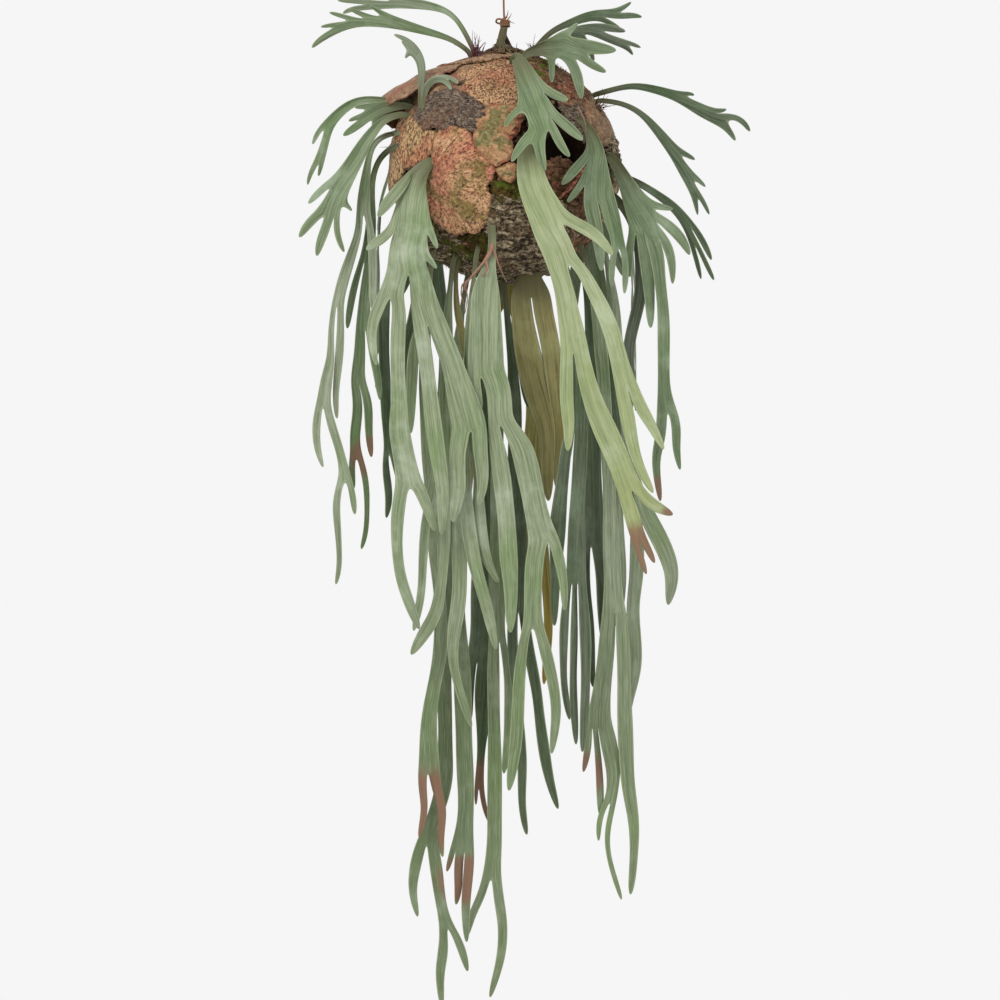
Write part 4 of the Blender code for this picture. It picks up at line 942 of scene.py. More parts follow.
        [(60, -330, 16), (68, -400, 17), (66, -480, 19), [(76, -540, 10), (80, -604)],
         [(60, -560, 12), (60, -620, 9), (66, -684)]],
        [(38, -330, 15), (32, -400, 16), (36, -470, 14), (32, -548)]], 146, 90),
    "frond_left_side": ("deep", (-128, -150), (0, -12), [
        (-40, -214, 10), (-46, -236, 20), (-50, -262, 32), [(-76, -292, 11), (-82, -330)], (-50, -292, 34),
        [(-62, -330, 15), (-70, -380, 16), (-66, -430, 17), (-72, -470, 12), (-66, -520)],
        [(-38, -330, 15), (-32, -372, 15), (-36, -412, 17), [(-28, -440, 9), (-26, -480)],
         [(-42, -446, 10), (-44, -496)]]], 146, -90),
}


def makeFronds():
    materials = {name: leafMaterial(name + "Leaf", *tones) for name, tones in frondTones.items()}
    slots = {part["node"]: part["material_slot"] for part in frame["record"]["subparts"]}
    for number, (name, (tone, depth, roll, path, *rest)) in enumerate(fronds.items()):
        clear, turn = (rest + [frondLook["clear"], 0][len(rest):])
        bm = frondSheet(path, depth, roll, clear, turn, Random(number), withered.get(name, []))
        title = "".join(word.title() for word in name.split("_"))
        title = title[0].lower() + title[1:]
        piece = addPiece(title, meshFrom(bm, name), materials[tone], slots[name], [name])
        thicken(piece, frondLook["thickness"])
        smoothOut(piece)


makeFronds()
print("fronds made")


# ball: core, old shields, bark and moss

ballLook = {"radius": 136, "core": 131.5, "lumps": ((2.6, 0.07), (1.6, 0.22), (0.8, 0.6)),
            "hollow": (73, -247, 27, 40, 34), "neckWidth": 38, "neckShape": 3.4, "rings": 44, "spokes": 168,
            "veinFoot": (-88, -262), "torn": ((1, 0.10), (0.7, 0.28), (0.4, 0.8)),
            "ragged": {"greyBark": 4.0, "roughBark": 5.0, "mossy": 6.0, "reddish": 5.0, "scale": 1.6}}
# kind, outer radius, turn of the view that the outline is drawn in, thickness, outline as (x, z) points,
# places where the sheet lifts off as (x, z, reach, height), CAD nodes that it stands for
oldSheets = {
    "rimSheet": ("papery", 139, 0, 1.6, [
        (24, -121), (-12, -125), (-38, -127), (-58, -141), (-80, -156), (-102, -180), (-120, -193),
        (-138, -196), (-168, -190), (-176, -160), (-152, -118), (-110, -92), (-60, -78), (-32, -96),
        (-22, -112), (8, -116)], [(-130, -185, 32, 30), (-98, -150, 34, 10)], ["rim_sheet"]),
    "underRim": ("papery", 136.5, 0, 2.4, [
        (-128, -196), (-112, -166), (-88, -142), (-60, -124), (-34, -118), (-20, -128), (-34, -152),
        (-56, -166), (-84, -180), (-104, -200)], [(-84, -160, 26, 2)], []),
    "topShield": ("pitted", 137, 0, 3.2, [
        (-58, -142), (-38, -126), (-12, -124), (14, -124), (26, -138), (28, -160), (20, -184),
        (-2, -190), (-18, -187), (-32, -180), (-48, -166), (-60, -156)], [(0, -150, 40, 2)],
        ["shield_top_tan"]),
    "leftShield": ("honeycomb", 138.5, 0, 3, [
        (-104, -192), (-94, -206), (-80, -214), (-82, -230), (-90, -246), (-98, -254), (-112, -256),
        (-122, -264), (-134, -288), (-142, -292), (-150, -262), (-156, -226), (-148, -196),
        (-130, -188)], [(-100, -224, 26, 2), (-136, -280, 18, 3)], ["shield_left_tan"]),
    "pinkShield": ("veined", 139.5, 0, 3, [
        (-80, -212), (-64, -206), (-48, -207), (-38, -218), (-32, -232), (-18, -246), (-10, -258),
        (-11, -268), (-20, -277), (-14, -290), (-16, -306), (-20, -322), (-34, -333), (-58, -333),
        (-78, -322), (-94, -302), (-101, -280), (-98, -264), (-88, -254), (-88, -236), (-84, -222)],
        [(-88, -262, 18, -4), (-50, -262, 34, 4)], ["shield_front_pink"]),
    "upperBark": ("greyBark", 141, 0, 3.4, [
        (-106, -192), (-94, -174), (-80, -165), (-62, -163), (-48, -167), (-36, -176), (-24, -184),
        (-16, -194), (-26, -204), (-36, -214), (-48, -210), (-60, -208), (-70, -212), (-82, -208),
        (-94, -210)], [(-60, -190, 26, 2)], ["bark_upper_left"]),
    "lowerBark": ("roughBark", 137, 0, 4, [
        (-18, -294), (4, -288), (28, -290), (58, -290), (84, -310), (86, -340), (64, -374), (30, -392),
        (8, -396), (-8, -382), (-14, -360), (-22, -336), (-20, -312)], [(20, -340, 40, 3)],
        ["bark_lower_front"]),
    "lowerMoss": ("mossy", 134, 0, 3, [
        (-100, -290), (-84, -322), (-60, -334), (-30, -334), (-16, -330), (-14, -356), (-8, -392),
        (-30, -412), (-70, -410), (-104, -380), (-140, -340), (-142, -300), (-120, -284)],
        [(-50, -350, 30, 2)], ["moss_lower_left"]),
    "redSheet": ("reddish", 136.5, 0, 2.2, [
        (24, -124), (44, -118), (70, -120), (96, -140), (104, -166), (88, -182), (70, -178), (52, -164),
        (36, -170), (26, -150)], [(60, -156, 16, 3)], ["shield_right_red"]),
    "rightBulge": ("smooth", 135.5, 0, 3, [
        (94, -172), (104, -164), (118, -166), (134, -182), (150, -206), (152, -236), (134, -236),
        (118, -226), (106, -214), (97, -196)], [(116, -200, 24, 2)], ["shield_right_brown"]),
    "rightBark": ("greyBark", 136.5, 0, 3, [
        (66, -176), (84, -170), (97, -182), (104, -202), (112, -220), (104, -232), (88, -214),
        (70, -200)], [], []),
    "sideBark": ("roughBark", 137.5, 0, 4, [
        (126, -216), (150, -212), (176, -230), (182, -262), (160, -290), (136, -280), (128, -256),
        (122, -236)], [(134, -250, 16, 2)], []),
    "magentaBark": ("reddish", 135.5, 0, 3, [
        (78, -282), (104, -272), (130, -282), (140, -310), (124, -340), (96, -344), (84, -318),
        (76, -300)], [], []),
    "topRightMoss": ("mossy", 138.5, 0, 3, [
        (22, -122), (38, -114), (58, -116), (68, -130), (56, -142), (38, -150), (26, -140)], [], []),
    "hollowFloor": ("reddish", 127, 0, 3, [
        (40, -254), (54, -246), (78, -244), (94, -256), (90, -286), (66, -300), (46, -292)],
        [(66, -262, 16, -9)], []),
    "upperScale": ("scale", 140.5, 0, 2, [
        (-30, -190), (-10, -183), (14, -183), (20, -200), (14, -220), (-8, -217), (-28, -216),
        (-36, -204)], [(-4, -200, 18, 2)], []),
    "middleScale": ("scale", 142.5, 0, 2.4, [
        (-36, -218), (-26, -211), (-6, -212), (8, -222), (11, -240), (2, -250), (-10, -255), (-24, -246),
        (-34, -232)], [(-10, -232, 18, 2.5)], []),
    "smallScale": ("scale", 141, 0, 2.4, [
        (-8, -256), (4, -251), (14, -252), (16, -264), (8, -274), (-2, -270), (-9, -263)], [], []),
    "scaleMoss": ("mossy", 137.5, 0, 3, [
        (-12, -274), (4, -272), (22, -266), (34, -276), (32, -292), (14, -298), (-6, -298), (-16, -290)],
        [], []),
    "leftSideShield": ("honeycomb", 136.5, -96, 2.6, [
        (-66, -206), (-30, -172), (6, -180), (38, -168), (66, -196), (78, -236), (62, -262), (74, -300),
        (40, -330), (8, -318), (-28, -338), (-58, -306), (-50, -276), (-76, -244)], [(0, -250, 40, 3)],
        []),
    "backLeftShield": ("veined", 138.5, -146, 3, [
        (-78, -262), (-70, -216), (-36, -196), (-20, -170), (22, -176), (50, -192), (80, -226),
        (70, -262), (84, -300), (44, -318), (30, -338), (-12, -330), (-50, -340), (-60, -300)],
        [(0, -250, 50, 3)], ["shield_back_left"]),
    "backRightShield": ("pitted", 139.5, 142, 3, [
        (-76, -270), (-84, -226), (-52, -206), (-40, -172), (4, -182), (36, -168), (62, -198),
        (58, -230), (82, -262), (66, -310), (28, -322), (10, -346), (-34, -334), (-62, -306)],
        [(0, -260, 50, 3)], ["shield_back_right"]),
    "rightSideShield": ("papery", 136, 96, 2.4, [
        (-60, -212), (-44, -176), (-6, -184), (26, -166), (56, -190), (84, -212), (70, -256), (78, -300),
        (40, -322), (6, -312), (-30, -336), (-64, -306), (-52, -262)], [(10, -250, 40, 3)], []),
    "backTopShield": ("papery", 137.5, 176, 2.4, [
        (-92, -176), (-66, -140), (-34, -134), (-22, -120), (16, -122), (34, -136), (72, -140),
        (96, -180), (62, -198), (30, -186), (6, -204), (-30, -192), (-58, -204)], [(20, -150, 40, 4)],
        []),
    "backTopMoss": ("mossy", 135, 170, 3, [
        (-70, -166), (-50, -128), (-24, -118), (0, -116), (24, -118), (52, -128), (70, -164), (44, -216),
        (0, -226), (-46, -218)], [], ["moss_top_back"]),
    "leftLowBark": ("roughBark", 135.5, -70, 3.6, [
        (-60, -330), (-30, -306), (10, -318), (46, -300), (70, -326), (58, -360), (20, -388),
        (-24, -382)], [], []),
    "rightLowBark": ("reddish", 135.5, 84, 3.6, [
        (-74, -322), (-36, -302), (6, -316), (48, -298), (78, -318), (58, -364), (16, -386),
        (-34, -376)], [], []),
    "backLowBark": ("roughBark", 136.5, 180, 3.6, [
        (-80, -312), (-36, -300), (-10, -316), (44, -298), (86, -312), (60, -362), (26, -386),
        (-14, -390), (-58, -368)], [], []),
}


def onBall(x, z, radius, turn=0):
    # a place drawn on the view that `turn` faces, laid on the ball; past its outline it goes on round
    flat = Vector((x, z - ballMiddle.z))
    far = flat.length / ballLook["radius"]
    polar = asin(min(far, 1)) + max(0, far - 1)
    side = flat.normalized() if far else flat
    spot = Vector((side.x * sin(polar), -cos(polar), side.y * sin(polar))) * radius
    spot.rotate(Matrix.Rotation(radians(turn), 3, "Z"))
    return spot + ballMiddle


def fromVeinFoot(x, z):
    # angle and distance of a place from the point where the pink shield's veins meet
    away = Vector((x, z)) - Vector(ballLook["veinFoot"])
    return atan2(away.y, away.x), away.length


def lumps(place, waves):
    # several sizes of noise added up, each as (height, closeness)
    return sum(height * noise.noise(place * close) for height, close in waves)


def ridged(place, scale):
    return 1 - abs(noise.noise(place * scale)) * 2


def relief(kind, place, x, z, inward):
    # how far the surface stands up at a place on the ball, in millimetres
    broad = noise.noise(place * 0.035) * 2.4
    if kind == "pitted":
        pit = smoothStep(1.4 - noise.voronoi(place * 0.30)[0][0] * 3.4)
        return broad * 0.6 - 1.1 * pit + 0.3 * noise.noise(place * 0.5)
    if kind == "honeycomb":
        cell = noise.voronoi(Vector((place.x, place.y, place.z * 0.6)) * 0.26)[0]
        return broad * 0.5 - 1.3 * smoothStep(1.3 - cell[0] * 3) + 0.3 * noise.noise(place * 0.4)
    if kind == "veined":
        fan, away = fromVeinFoot(x, z)
        vein = noise.noise(Vector((fan * 9, 0.03 * away, 3)))
        return broad + 1.1 * vein - 0.7 * smoothStep(1.3 - noise.voronoi(place * 0.3)[0][0] * 3)
    if kind in ("scale", "smooth"):
        return broad * 0.6 + 1.3 * inward + lumps(place, ((0.7, 0.13), (0.35, 0.45)))
    if kind in ("greyBark", "roughBark"):
        tall = Vector((place.x * 0.6, place.y * 0.6, place.z * 1.3 + 4 * noise.noise(place * 0.05)))
        size = 4.2 if kind == "roughBark" else 1.7
        fine = 0.5 * ridged(tall, 0.36)
        return broad + size * (ridged(tall, 0.12) - 0.6 + fine) + 0.3 * noise.noise(place * 1.1)
    if kind == "mossy":
        return lumps(place, ((2.6, 0.11), (1.6, 0.3), (0.8, 0.8)))
    if kind == "papery":
        return broad * 0.6 + 0.9 * ridged(Vector((x * 0.3, 0, z)), 0.06) + 0.25 * noise.noise(place * 0.4)
    if kind == "reddish":
        return broad + 1.6 * ridged(place, 0.09) + 0.7 * noise.noise(place * 0.35)
    return broad


def oldSheet(name, kind, radius, turn, thickness, outline, lifts, materials, replaced):
    rings, spokes = ballLook["rings"], ballLook["spokes"]
    points = [Vector(point) for point in outline]
    centre = sum(points, Vector((0, 0))) / len(points)
    bm = bmesh.new()
    line = [bm.verts.new((number / rings, 0, 0)) for number in range(rings + 1)]
    for a, b in zip(line, line[1:]):
        bm.edges.new((a, b))
    bmesh.ops.spin(bm, geom=bm.verts[:] + bm.edges[:], cent=(0, 0, 0), axis=(0, 0, 1), angle=2 * pi,
                   steps=spokes, use_merge=True)
    bmesh.ops.remove_doubles(bm, verts=bm.verts, dist=0.0001)
    edge, flow = bm.verts.layers.float.new("rim"), bm.verts.layers.float_vector.new("flow")
    ragged = ballLook["ragged"].get(kind, 3.4)
    for vert in bm.verts:
        out = vert.co.xy.length
        at = (atan2(vert.co.y, vert.co.x) / (2 * pi) % 1) * len(points)
        four = [points[(int(at) + shift) % len(points)] for shift in (-1, 0, 1, 2)]
        rim = curveThrough(*four, at - int(at))
        spot = Vector((rim.x, rim.y, radius))
        reach = rim - centre
        reach *= 1 + ragged * lumps(spot, ballLook["torn"]) / reach.length
        spot = centre + reach * out
        x, z = spot
        ball = onBall(x, z, radius, turn)
        inward = (1 - out) * reach.length
        height = radius + relief(kind, ball, x, z, 1 - out ** 2)
        for liftX, liftZ, size, amount in lifts:
            height += amount * exp(-((x - liftX) ** 2 + (z - liftZ) ** 2) / size ** 2)
        height -= 2.0 * (1 - smoothStep(inward / 4)) * (0.2 if kind == "papery" else 1)
        curl = noise.noise(spot.to_3d() * 0.05 + Vector((0, 0, radius)))
        height += 2.2 * curl * (1 - smoothStep(inward / 12))
        vert.co = onBall(x, z, height, turn) * mm
        vert[edge] = inward * mm
        fan, away = fromVeinFoot(x, z)
        vert[flow] = (fan, away * mm, 0)
    bmesh.ops.recalc_face_normals(bm, faces=bm.faces)
    some = max(bm.faces, key=lambda face: face.calc_area())
    if some.normal.dot(some.calc_center_median() - ballMiddle * mm) < 0:
        bmesh.ops.reverse_faces(bm, faces=bm.faces)
    piece = addPiece(name, meshFrom(bm, name), *materials[kind], replaced)
    thicken(piece, thickness, -1)


def wornEdge(recipe, colour, tint, amount, low, high, wander=0):
    # stains the last few millimetres before a sheet's edge
    inside = recipe.inMillimetres("rim") + wander
    return recipe.mix((1 - inside.band(low, high)) * amount, colour, coloured(*tint))


def pittedMaterial(name, light, base, pit, scale, stretch, depth=1.2):
    recipe = Recipe(name)
    place = recipe.place()
    warped = recipe.stretch(place, stretch)
    pits = recipe.cells(warped, scale, "SMOOTH_F1")
    walls = recipe.cells(warped, scale, "DISTANCE_TO_EDGE")
    small = recipe.cells(place, scale * 2.1)
    grain = recipe.cloud(place, 420, 4, 0.65)
    broad = recipe.cloud(place, 48, 3, 0.6)
    # dark pits: partly their own darker tissue, partly painted shade in the recesses; the pale walls between
    # them are partly their own colour, partly painted highlight
    pitsAndShade = (1 - pits.band(0.22, 0.46)).most((1 - small.band(0.14, 0.34)) * 0.7) * broad.band(0.22, 0.46)
    pale = grain.band(0.3, 0.7) * 0.5 + (1 - walls.band(0.02, 0.2)) * 0.5
    colour = recipe.mix(pale, coloured(*base), coloured(*light))
    colour = recipe.tinted(colour, place, 26, 0.46, 0.66, 0.7, (188, 112, 88))
    colour = recipe.tinted(colour, place, 33, 0.55, 0.72, 0.6, (142, 112, 78))
    colour = recipe.tinted(colour, place, 45, 0.60, 0.74, 0.6, (112, 108, 58))
    colour = recipe.mix(pitsAndShade * 0.85, colour, coloured(*pit))
    colour = recipe.gritShadeAndHighlight(colour, place, 0.55)
    colour = wornEdge(recipe, colour, (88, 56, 42), 0.75, 0.3, 3.5, broad * 6 - 3)
    return recipe.finish(colour, 0.74 + grain * 0.15, grain * 0.5 - pitsAndShade * 1.3, depth,
                         Specular_IOR_Level=0.25)


def veinedMaterial():
    recipe = Recipe("pinkVeins")
    place = recipe.place()
    flow = recipe.attribute("flow", "Vector")
    fan = recipe.cloud(recipe.stretch(flow, (13, 24, 1)), 1.0, 5, 0.66, 0.3)
    fine = recipe.cloud(recipe.stretch(flow, (40, 90, 1)), 1.0, 3, 0.6)
    pits = recipe.cells(recipe.stretch(flow, (21, 290, 1)), 1.0, "SMOOTH_F1")
    dots = recipe.cells(place, 380)
    broad = recipe.cloud(place, 44, 3, 0.6)
    pitsAndShade = (1 - pits.band(0.16, 0.36)).most((1 - dots.band(0.12, 0.30)) * 0.8) * broad.band(0.30, 0.56)
    colour = recipe.ramp(fan, (0.34, coloured(138, 86, 64)), (0.45, coloured(186, 134, 102)),
                         (0.56, coloured(216, 174, 138)), (0.68, coloured(154, 112, 74)))
    colour = recipe.mix(fine.band(0.5, 0.72) * 0.6, colour, coloured(222, 176, 138))
    colour = recipe.tinted(colour, place, 17, 0.44, 0.60, 0.6, (190, 100, 88))
    colour = recipe.tinted(colour, place, 29, 0.50, 0.64, 0.85, (116, 104, 50))
    colour = recipe.tinted(colour, place, 62, 0.54, 0.66, 0.6, (150, 120, 70))
    # dark pits and dots: partly their own darker tissue, partly painted shade in the recesses
    colour = recipe.mix(pitsAndShade * 0.7, colour, coloured(88, 54, 38))
    colour = recipe.gritShadeAndHighlight(colour, place, 0.6)
    colour = wornEdge(recipe, colour, (120, 66, 54), 0.7, 0.3, 3.5, broad * 6 - 3)
    return recipe.finish(colour, 0.72 + fine * 0.2, fan * 0.9 + fine * 0.6 - pitsAndShade * 1.2, 1.3,
                         Specular_IOR_Level=0.3)


def barkMaterial(name, dark, base, light, scale, tints):
    recipe = Recipe(name)
    place = recipe.place()
    warped = recipe.stretch(place, (0.8, 0.8, 1.9))
    ridges = recipe.cloud(warped, scale, 5, 0.62, 0.6)
    grain = recipe.cloud(place, 700, 3, 0.7)
    pits = 1 - recipe.cells(place, 420).band(0.08, 0.3)
    # ridge tops lighter and furrows darker: partly the bark's own weathering, partly painted highlight and
    # shade on the same ridges that the bump raises
    colour = recipe.ramp(ridges * 0.75 + grain * 0.25, (0.40, coloured(*dark)), (0.50, coloured(*base)),
                         (0.60, coloured(*light)))
    # small pits darkened: partly dark tissue, partly painted shade in them
    colour = recipe.mix(pits * 0.7, colour, coloured(*dark))
    for tint, tintScale, low, amount in tints:
        colour = recipe.tinted(colour, place, tintScale, low, low + 0.14, amount, tint)
    colour = recipe.gritShadeAndHighlight(colour, place, 0.5, dark, [value + 26 for value in light])
    return recipe.finish(colour, 0.86, ridges * 1.4 + grain * 0.4 - pits * 0.5, 1.6, Specular_IOR_Level=0.2)


def paperyMaterial():
    recipe = Recipe("paperyBrown")
    place = recipe.place()
    streaks = recipe.cloud(recipe.stretch(place, (160, 160, 34)), 1.0, 4, 0.6, 0.4)
    veins = recipe.cells(recipe.stretch(place, (1, 1, 0.35)), 120, "DISTANCE_TO_EDGE")
    grain = recipe.cloud(place, 600, 3, 0.65)
    colour = recipe.ramp(streaks, (0.3, coloured(118, 84, 66)), (0.5, coloured(156, 122, 98)),
                         (0.7, coloured(182, 152, 124)))
    colour = recipe.mix((1 - veins.band(0.01, 0.09)) * 0.45, colour, coloured(116, 66, 52))
    colour = recipe.tinted(colour, place, 22, 0.50, 0.66, 0.6, (150, 84, 68))
    colour = recipe.tinted(colour, place, 34, 0.6, 0.7, 0.4, (104, 98, 62))
    colour = recipe.gritShadeAndHighlight(colour, place, 0.3)
    colour = wornEdge(recipe, colour, (98, 58, 44), 0.7, 0.2, 2.2)
    height = streaks + grain * 0.3 - (1 - veins.band(0.01, 0.09)) * 0.4
    return recipe.finish(colour, 0.6 + grain * 0.3, height, 0.9, Specular_IOR_Level=0.35)


def scaleMaterial(name, base, light, edgeTint, green):
    recipe = Recipe(name)
    place = recipe.place()
    grain = recipe.cloud(place, 520, 3, 0.6)
    broad = recipe.cloud(place, 90, 4, 0.65)
    spots = recipe.cloud(place, 46, 3, 0.6)
    speckle = 1 - recipe.cells(place, 560).band(0.10, 0.30)
    colour = recipe.mix(broad.band(0.35, 0.65), coloured(*base), coloured(*light))
    colour = recipe.tinted(colour, place, 30, 0.48, 0.66, 0.6, (150, 104, 74))
    colour = recipe.mix((spots + grain * 0.25).band(green, green + 0.12) * 0.8, colour,
                        recipe.mix(grain, coloured(66, 76, 40), coloured(124, 128, 78)))
    colour = recipe.mix(speckle * broad.band(0.4, 0.6) * 0.8, colour, coloured(104, 64, 50))
    colour = recipe.gritShadeAndHighlight(colour, place, 0.5)
    colour = wornEdge(recipe, colour, edgeTint, 0.75, 0.2, 2.4, broad * 5 - 2.5)
    return recipe.finish(colour, 0.68 + grain * 0.2, broad + grain * 0.5 - speckle * 0.5, 0.9,
                         Specular_IOR_Level=0.28)


def mossMaterial(name="mossCushion"):
    recipe = Recipe(name)
    place = recipe.place()
    clumps = recipe.cloud(place, 150, 5, 0.7)
    fibres = recipe.cloud(place, 900, 3, 0.75)
    broad = recipe.cloud(place, 34, 3, 0.6)
    colour = recipe.ramp(clumps * 0.6 + fibres * 0.4, (0.36, coloured(28, 20, 10)),
                         (0.5, coloured(84, 74, 32)), (0.64, coloured(138, 128, 66)))
    fresh = recipe.mix(fibres, coloured(52, 70, 20), coloured(132, 150, 60))
    colour = recipe.mix(broad.band(0.46, 0.60) * 0.75, colour, fresh)
    colour = recipe.tinted(colour, place, 24, 0.54, 0.68, 0.6, (96, 58, 36))
    return recipe.finish(colour, 0.95, clumps + fibres * 0.8, 2.0, Specular_IOR_Level=0.15)


def coreMaterial():
    recipe = Recipe("darkFibre")
    place = recipe.place()
    fibres = recipe.cloud(recipe.stretch(place, (500, 500, 180)), 1.0, 4, 0.7, 0.8)
    clumps = recipe.cloud(place, 90, 4, 0.65)
    colour = recipe.ramp(fibres * 0.6 + clumps * 0.4, (0.34, coloured(18, 11, 8)),
                         (0.54, coloured(62, 42, 30)), (0.74, coloured(118, 88, 62)))
    colour = recipe.tinted(colour, place, 40, 0.55, 0.68, 0.55, (74, 78, 34))
    # inside the hollow the fibre is painted near black: painted shade in the recess
    deep = recipe.attribute("hollow")
    colour = recipe.mix(deep.band(0.1, 0.8) * 0.86, colour, coloured(22, 12, 9))
    return recipe.finish(colour, 0.95, fibres + clumps, 2.2, Specular_IOR_Level=0.12)


def pressed(world):
    # 1 inside the dark hollow at the right front, 0 away from it
    x0, z0, halfX, halfZ, _ = ballLook["hollow"]
    if world.y > 0:
        return 0
    off = ((world.x - x0) / halfX) ** 2 + ((world.z - z0) / halfZ) ** 2 + 0.25 * noise.noise(world * 0.08)
    return smoothStep(1.45 - off)


def makeCore():
    # mossy ball with a dark hollow at its right front, rising into the gathered neck
    bm = bmesh.new()
    bmesh.ops.create_icosphere(bm, subdivisions=7, radius=ballLook["core"])
    deep = bm.verts.layers.float.new("hollow")
    depth, neckWidth = ballLook["hollow"][-1], ballLook["neckWidth"]
    for vert in bm.verts:
        place = vert.co.copy()
        world = place + ballMiddle
        vert[deep] = pressed(world)
        place *= 1 + (lumps(world, ballLook["lumps"]) - depth * vert[deep]) / ballLook["core"]
        if place.z > 0:
            place.z += neckWidth * max(0, 1 - place.xy.length / neckWidth) ** ballLook["neckShape"]
        vert.co = (place + ballMiddle) * mm
    return addPiece("mossCore", meshFrom(bm, "mossCore"), coreMaterial(), "moss_core", ["moss_core"])


def makeOldSheets():
    barkSpots = [((120, 90, 66), 30, 0.52, 0.5), ((84, 88, 50), 44, 0.60, 0.5)]
    materials = {
        "pitted": (pittedMaterial("pittedTan", (216, 176, 142), (186, 134, 102), (98, 60, 46), 400,
                                  (1, 1, 0.8)), "shield_tan"),
        "honeycomb": (pittedMaterial("honeycombTan", (214, 180, 140), (176, 134, 98), (96, 64, 46), 350,
                                     (1, 1, 0.5)), "shield_tan"),
        "veined": (veinedMaterial(), "shield_pink"),
        "greyBark": (barkMaterial("purpleGreyBark", (46, 36, 32), (108, 92, 84), (156, 138, 126), 230,
                                  [((132, 96, 78), 22, 0.54, 0.6), ((72, 56, 50), 60, 0.54, 0.6)]), "bark"),
        "roughBark": (barkMaterial("ridgedBark", (34, 25, 16), (102, 86, 66), (196, 178, 156), 105,
                                   barkSpots), "bark"),
        "mossy": (mossMaterial(), "moss"),
        "papery": (paperyMaterial(), "shield_brown"),
        "reddish": (barkMaterial("reddishBark", (54, 34, 27), (112, 80, 60), (168, 126, 98), 120,
                                 barkSpots + [((150, 78, 62), 36, 0.56, 0.7)]), "shield_pink"),
        "smooth": (scaleMaterial("brownBulge", (118, 90, 70), (146, 118, 94), (88, 58, 44), 0.84),
                   "shield_brown"),
        "scale": (scaleMaterial("pinkScale", (168, 122, 90), (196, 154, 118), (168, 92, 72), 0.57),
                  "shield_pink"),
    }
    for name, (kind, radius, turn, thickness, outline, lifts, replaced) in oldSheets.items():
        oldSheet(name, kind, radius, turn, thickness, outline, lifts, materials, replaced)


makeCore()
makeOldSheets()
print("ball made")


# netting

netLook = {"radius": 128.6, "strand": 1.5, "columns": 22, "lean": 1.5, "steps": 46, "neckLean": -2.4}
neckProfile = [(30, -115), (20, -111.5), (12, -107.5), (7, -103), (4.8, -97), (3.8, -90), (3.4, -83)]


def nettingMaterial():
    recipe = Recipe("nettingStrand")
    place = recipe.place()
    twist = recipe.cloud(recipe.stretch(place, (900, 900, 400)), 1.0, 3, 0.6)
    dirt = recipe.cloud(place, 120, 3, 0.6)
    colour = recipe.mix(twist, coloured(62, 62, 40), coloured(124, 122, 88))
    colour = recipe.mix(dirt.band(0.42, 0.62) * 0.75, colour, coloured(104, 70, 48))
    return recipe.finish(colour, 0.75, twist, 0.4)


def makeNetting():
    # strands lean both ways round the ball and cross as diamonds, then gather in the neck
    count, steps = netLook["columns"], netLook["steps"]
    height = ballMiddle.z
    profile = [(netLook["radius"] * sin(pi * k / steps), height - netLook["radius"] * cos(pi * k / steps))
               for k in range(1, steps - 2)]
    profile = [spot for spot in profile if spot[1] < -118 or spot[0] > 40] + neckProfile
    paths = []
    for side in (-1, 1):
        for number in range(count):
            path = []
            for at, (radius, z) in enumerate(profile):
                angle = 2 * pi * number / count + side * netLook["lean"] * at / len(profile)
                radius += 0.6 * side * sin(angle * 3)
                spot = Vector((radius * cos(angle), radius * sin(angle), z))
                sunk = 1 - pressed(spot) * ballLook["hollow"][-1] / radius
                lean = netLook["neckLean"] * sin(pi * min(max((z + 115) / 32, 0), 1))
                path.append((spot.x * sunk + lean, spot.y * sunk, height + (z - height) * sunk))
            paths.append(path)
    tube("nettingStrands", paths, netLook["strand"], nettingMaterial(), "netting", ["netting_basket"],
         sides=1)


makeNetting()
print("netting made")


# loose growth: hair, rootlets and moss sprigs

growthLook = {"seed": 5, "crumbs": 760, "crumbRadius": 134, "crumbSize": (3, 8), "neckCrumbs": 130,
              "neckRing": (7, 38), "neckCrumbSize": (1.5, 4.5), "hair": 1.0, "sprigFoot": 135,
              "sprigLength": (2.5, 6), "sprigRadius": (0.55, 0.05)}
# start, direction, how many, length, spread
hairTufts = {
    "plumTufts": [
        ((-36, -30, -118), (-0.1, -0.2, 1), 22, 27, 0.4), ((-31, -22, -113), (0.1, 0, 1), 14, 22, 0.5),
        ((34, -28, -118), (0.2, -0.3, 1), 14, 24, 0.4)],
    "hairTufts": [
        ((112, -40, -180), (1, -0.2, 0.7), 24, 26, 0.8), ((8, -16, -112), (0.1, -0.2, 1), 30, 12, 0.9),
        ((-10, -14, -110), (-0.2, -0.2, 1), 26, 12, 0.9), ((-128, -40, -212), (-1, -0.2, -0.1), 10, 14, 0.7),
        ((20, 30, -120), (0.3, 0.5, 1), 12, 20, 0.7), ((-136, 0, -230), (-1, 0.1, -0.4), 8, 14, 0.6),
        ((60, -60, -150), (0.6, -0.7, 0.5), 10, 10, 0.9), ((46, -110, -276), (0, -1, -0.3), 12, 12, 0.9),
        ((68, -66, -262), (0.2, -0.6, -1), 22, 26, 0.9), ((50, -80, -262), (0, -0.4, -1), 14, 18, 0.9)]}
sprigPatches = [  # middle on the ball as (x, z), spread, how many
    ((-90, -250), 6, 50), ((-30, -214), 10, 60), ((-16, -270), 8, 60), ((-98, -180), 12, 90),
    ((-60, -350), 34, 400), ((8, -286), 18, 260), ((0, -124), 26, 240), ((-20, -232), 5, 60),
    ((60, -130), 20, 160), ((-50, -328), 20, 160), ((130, -270), 14, 120), ((70, -300), 20, 120)]
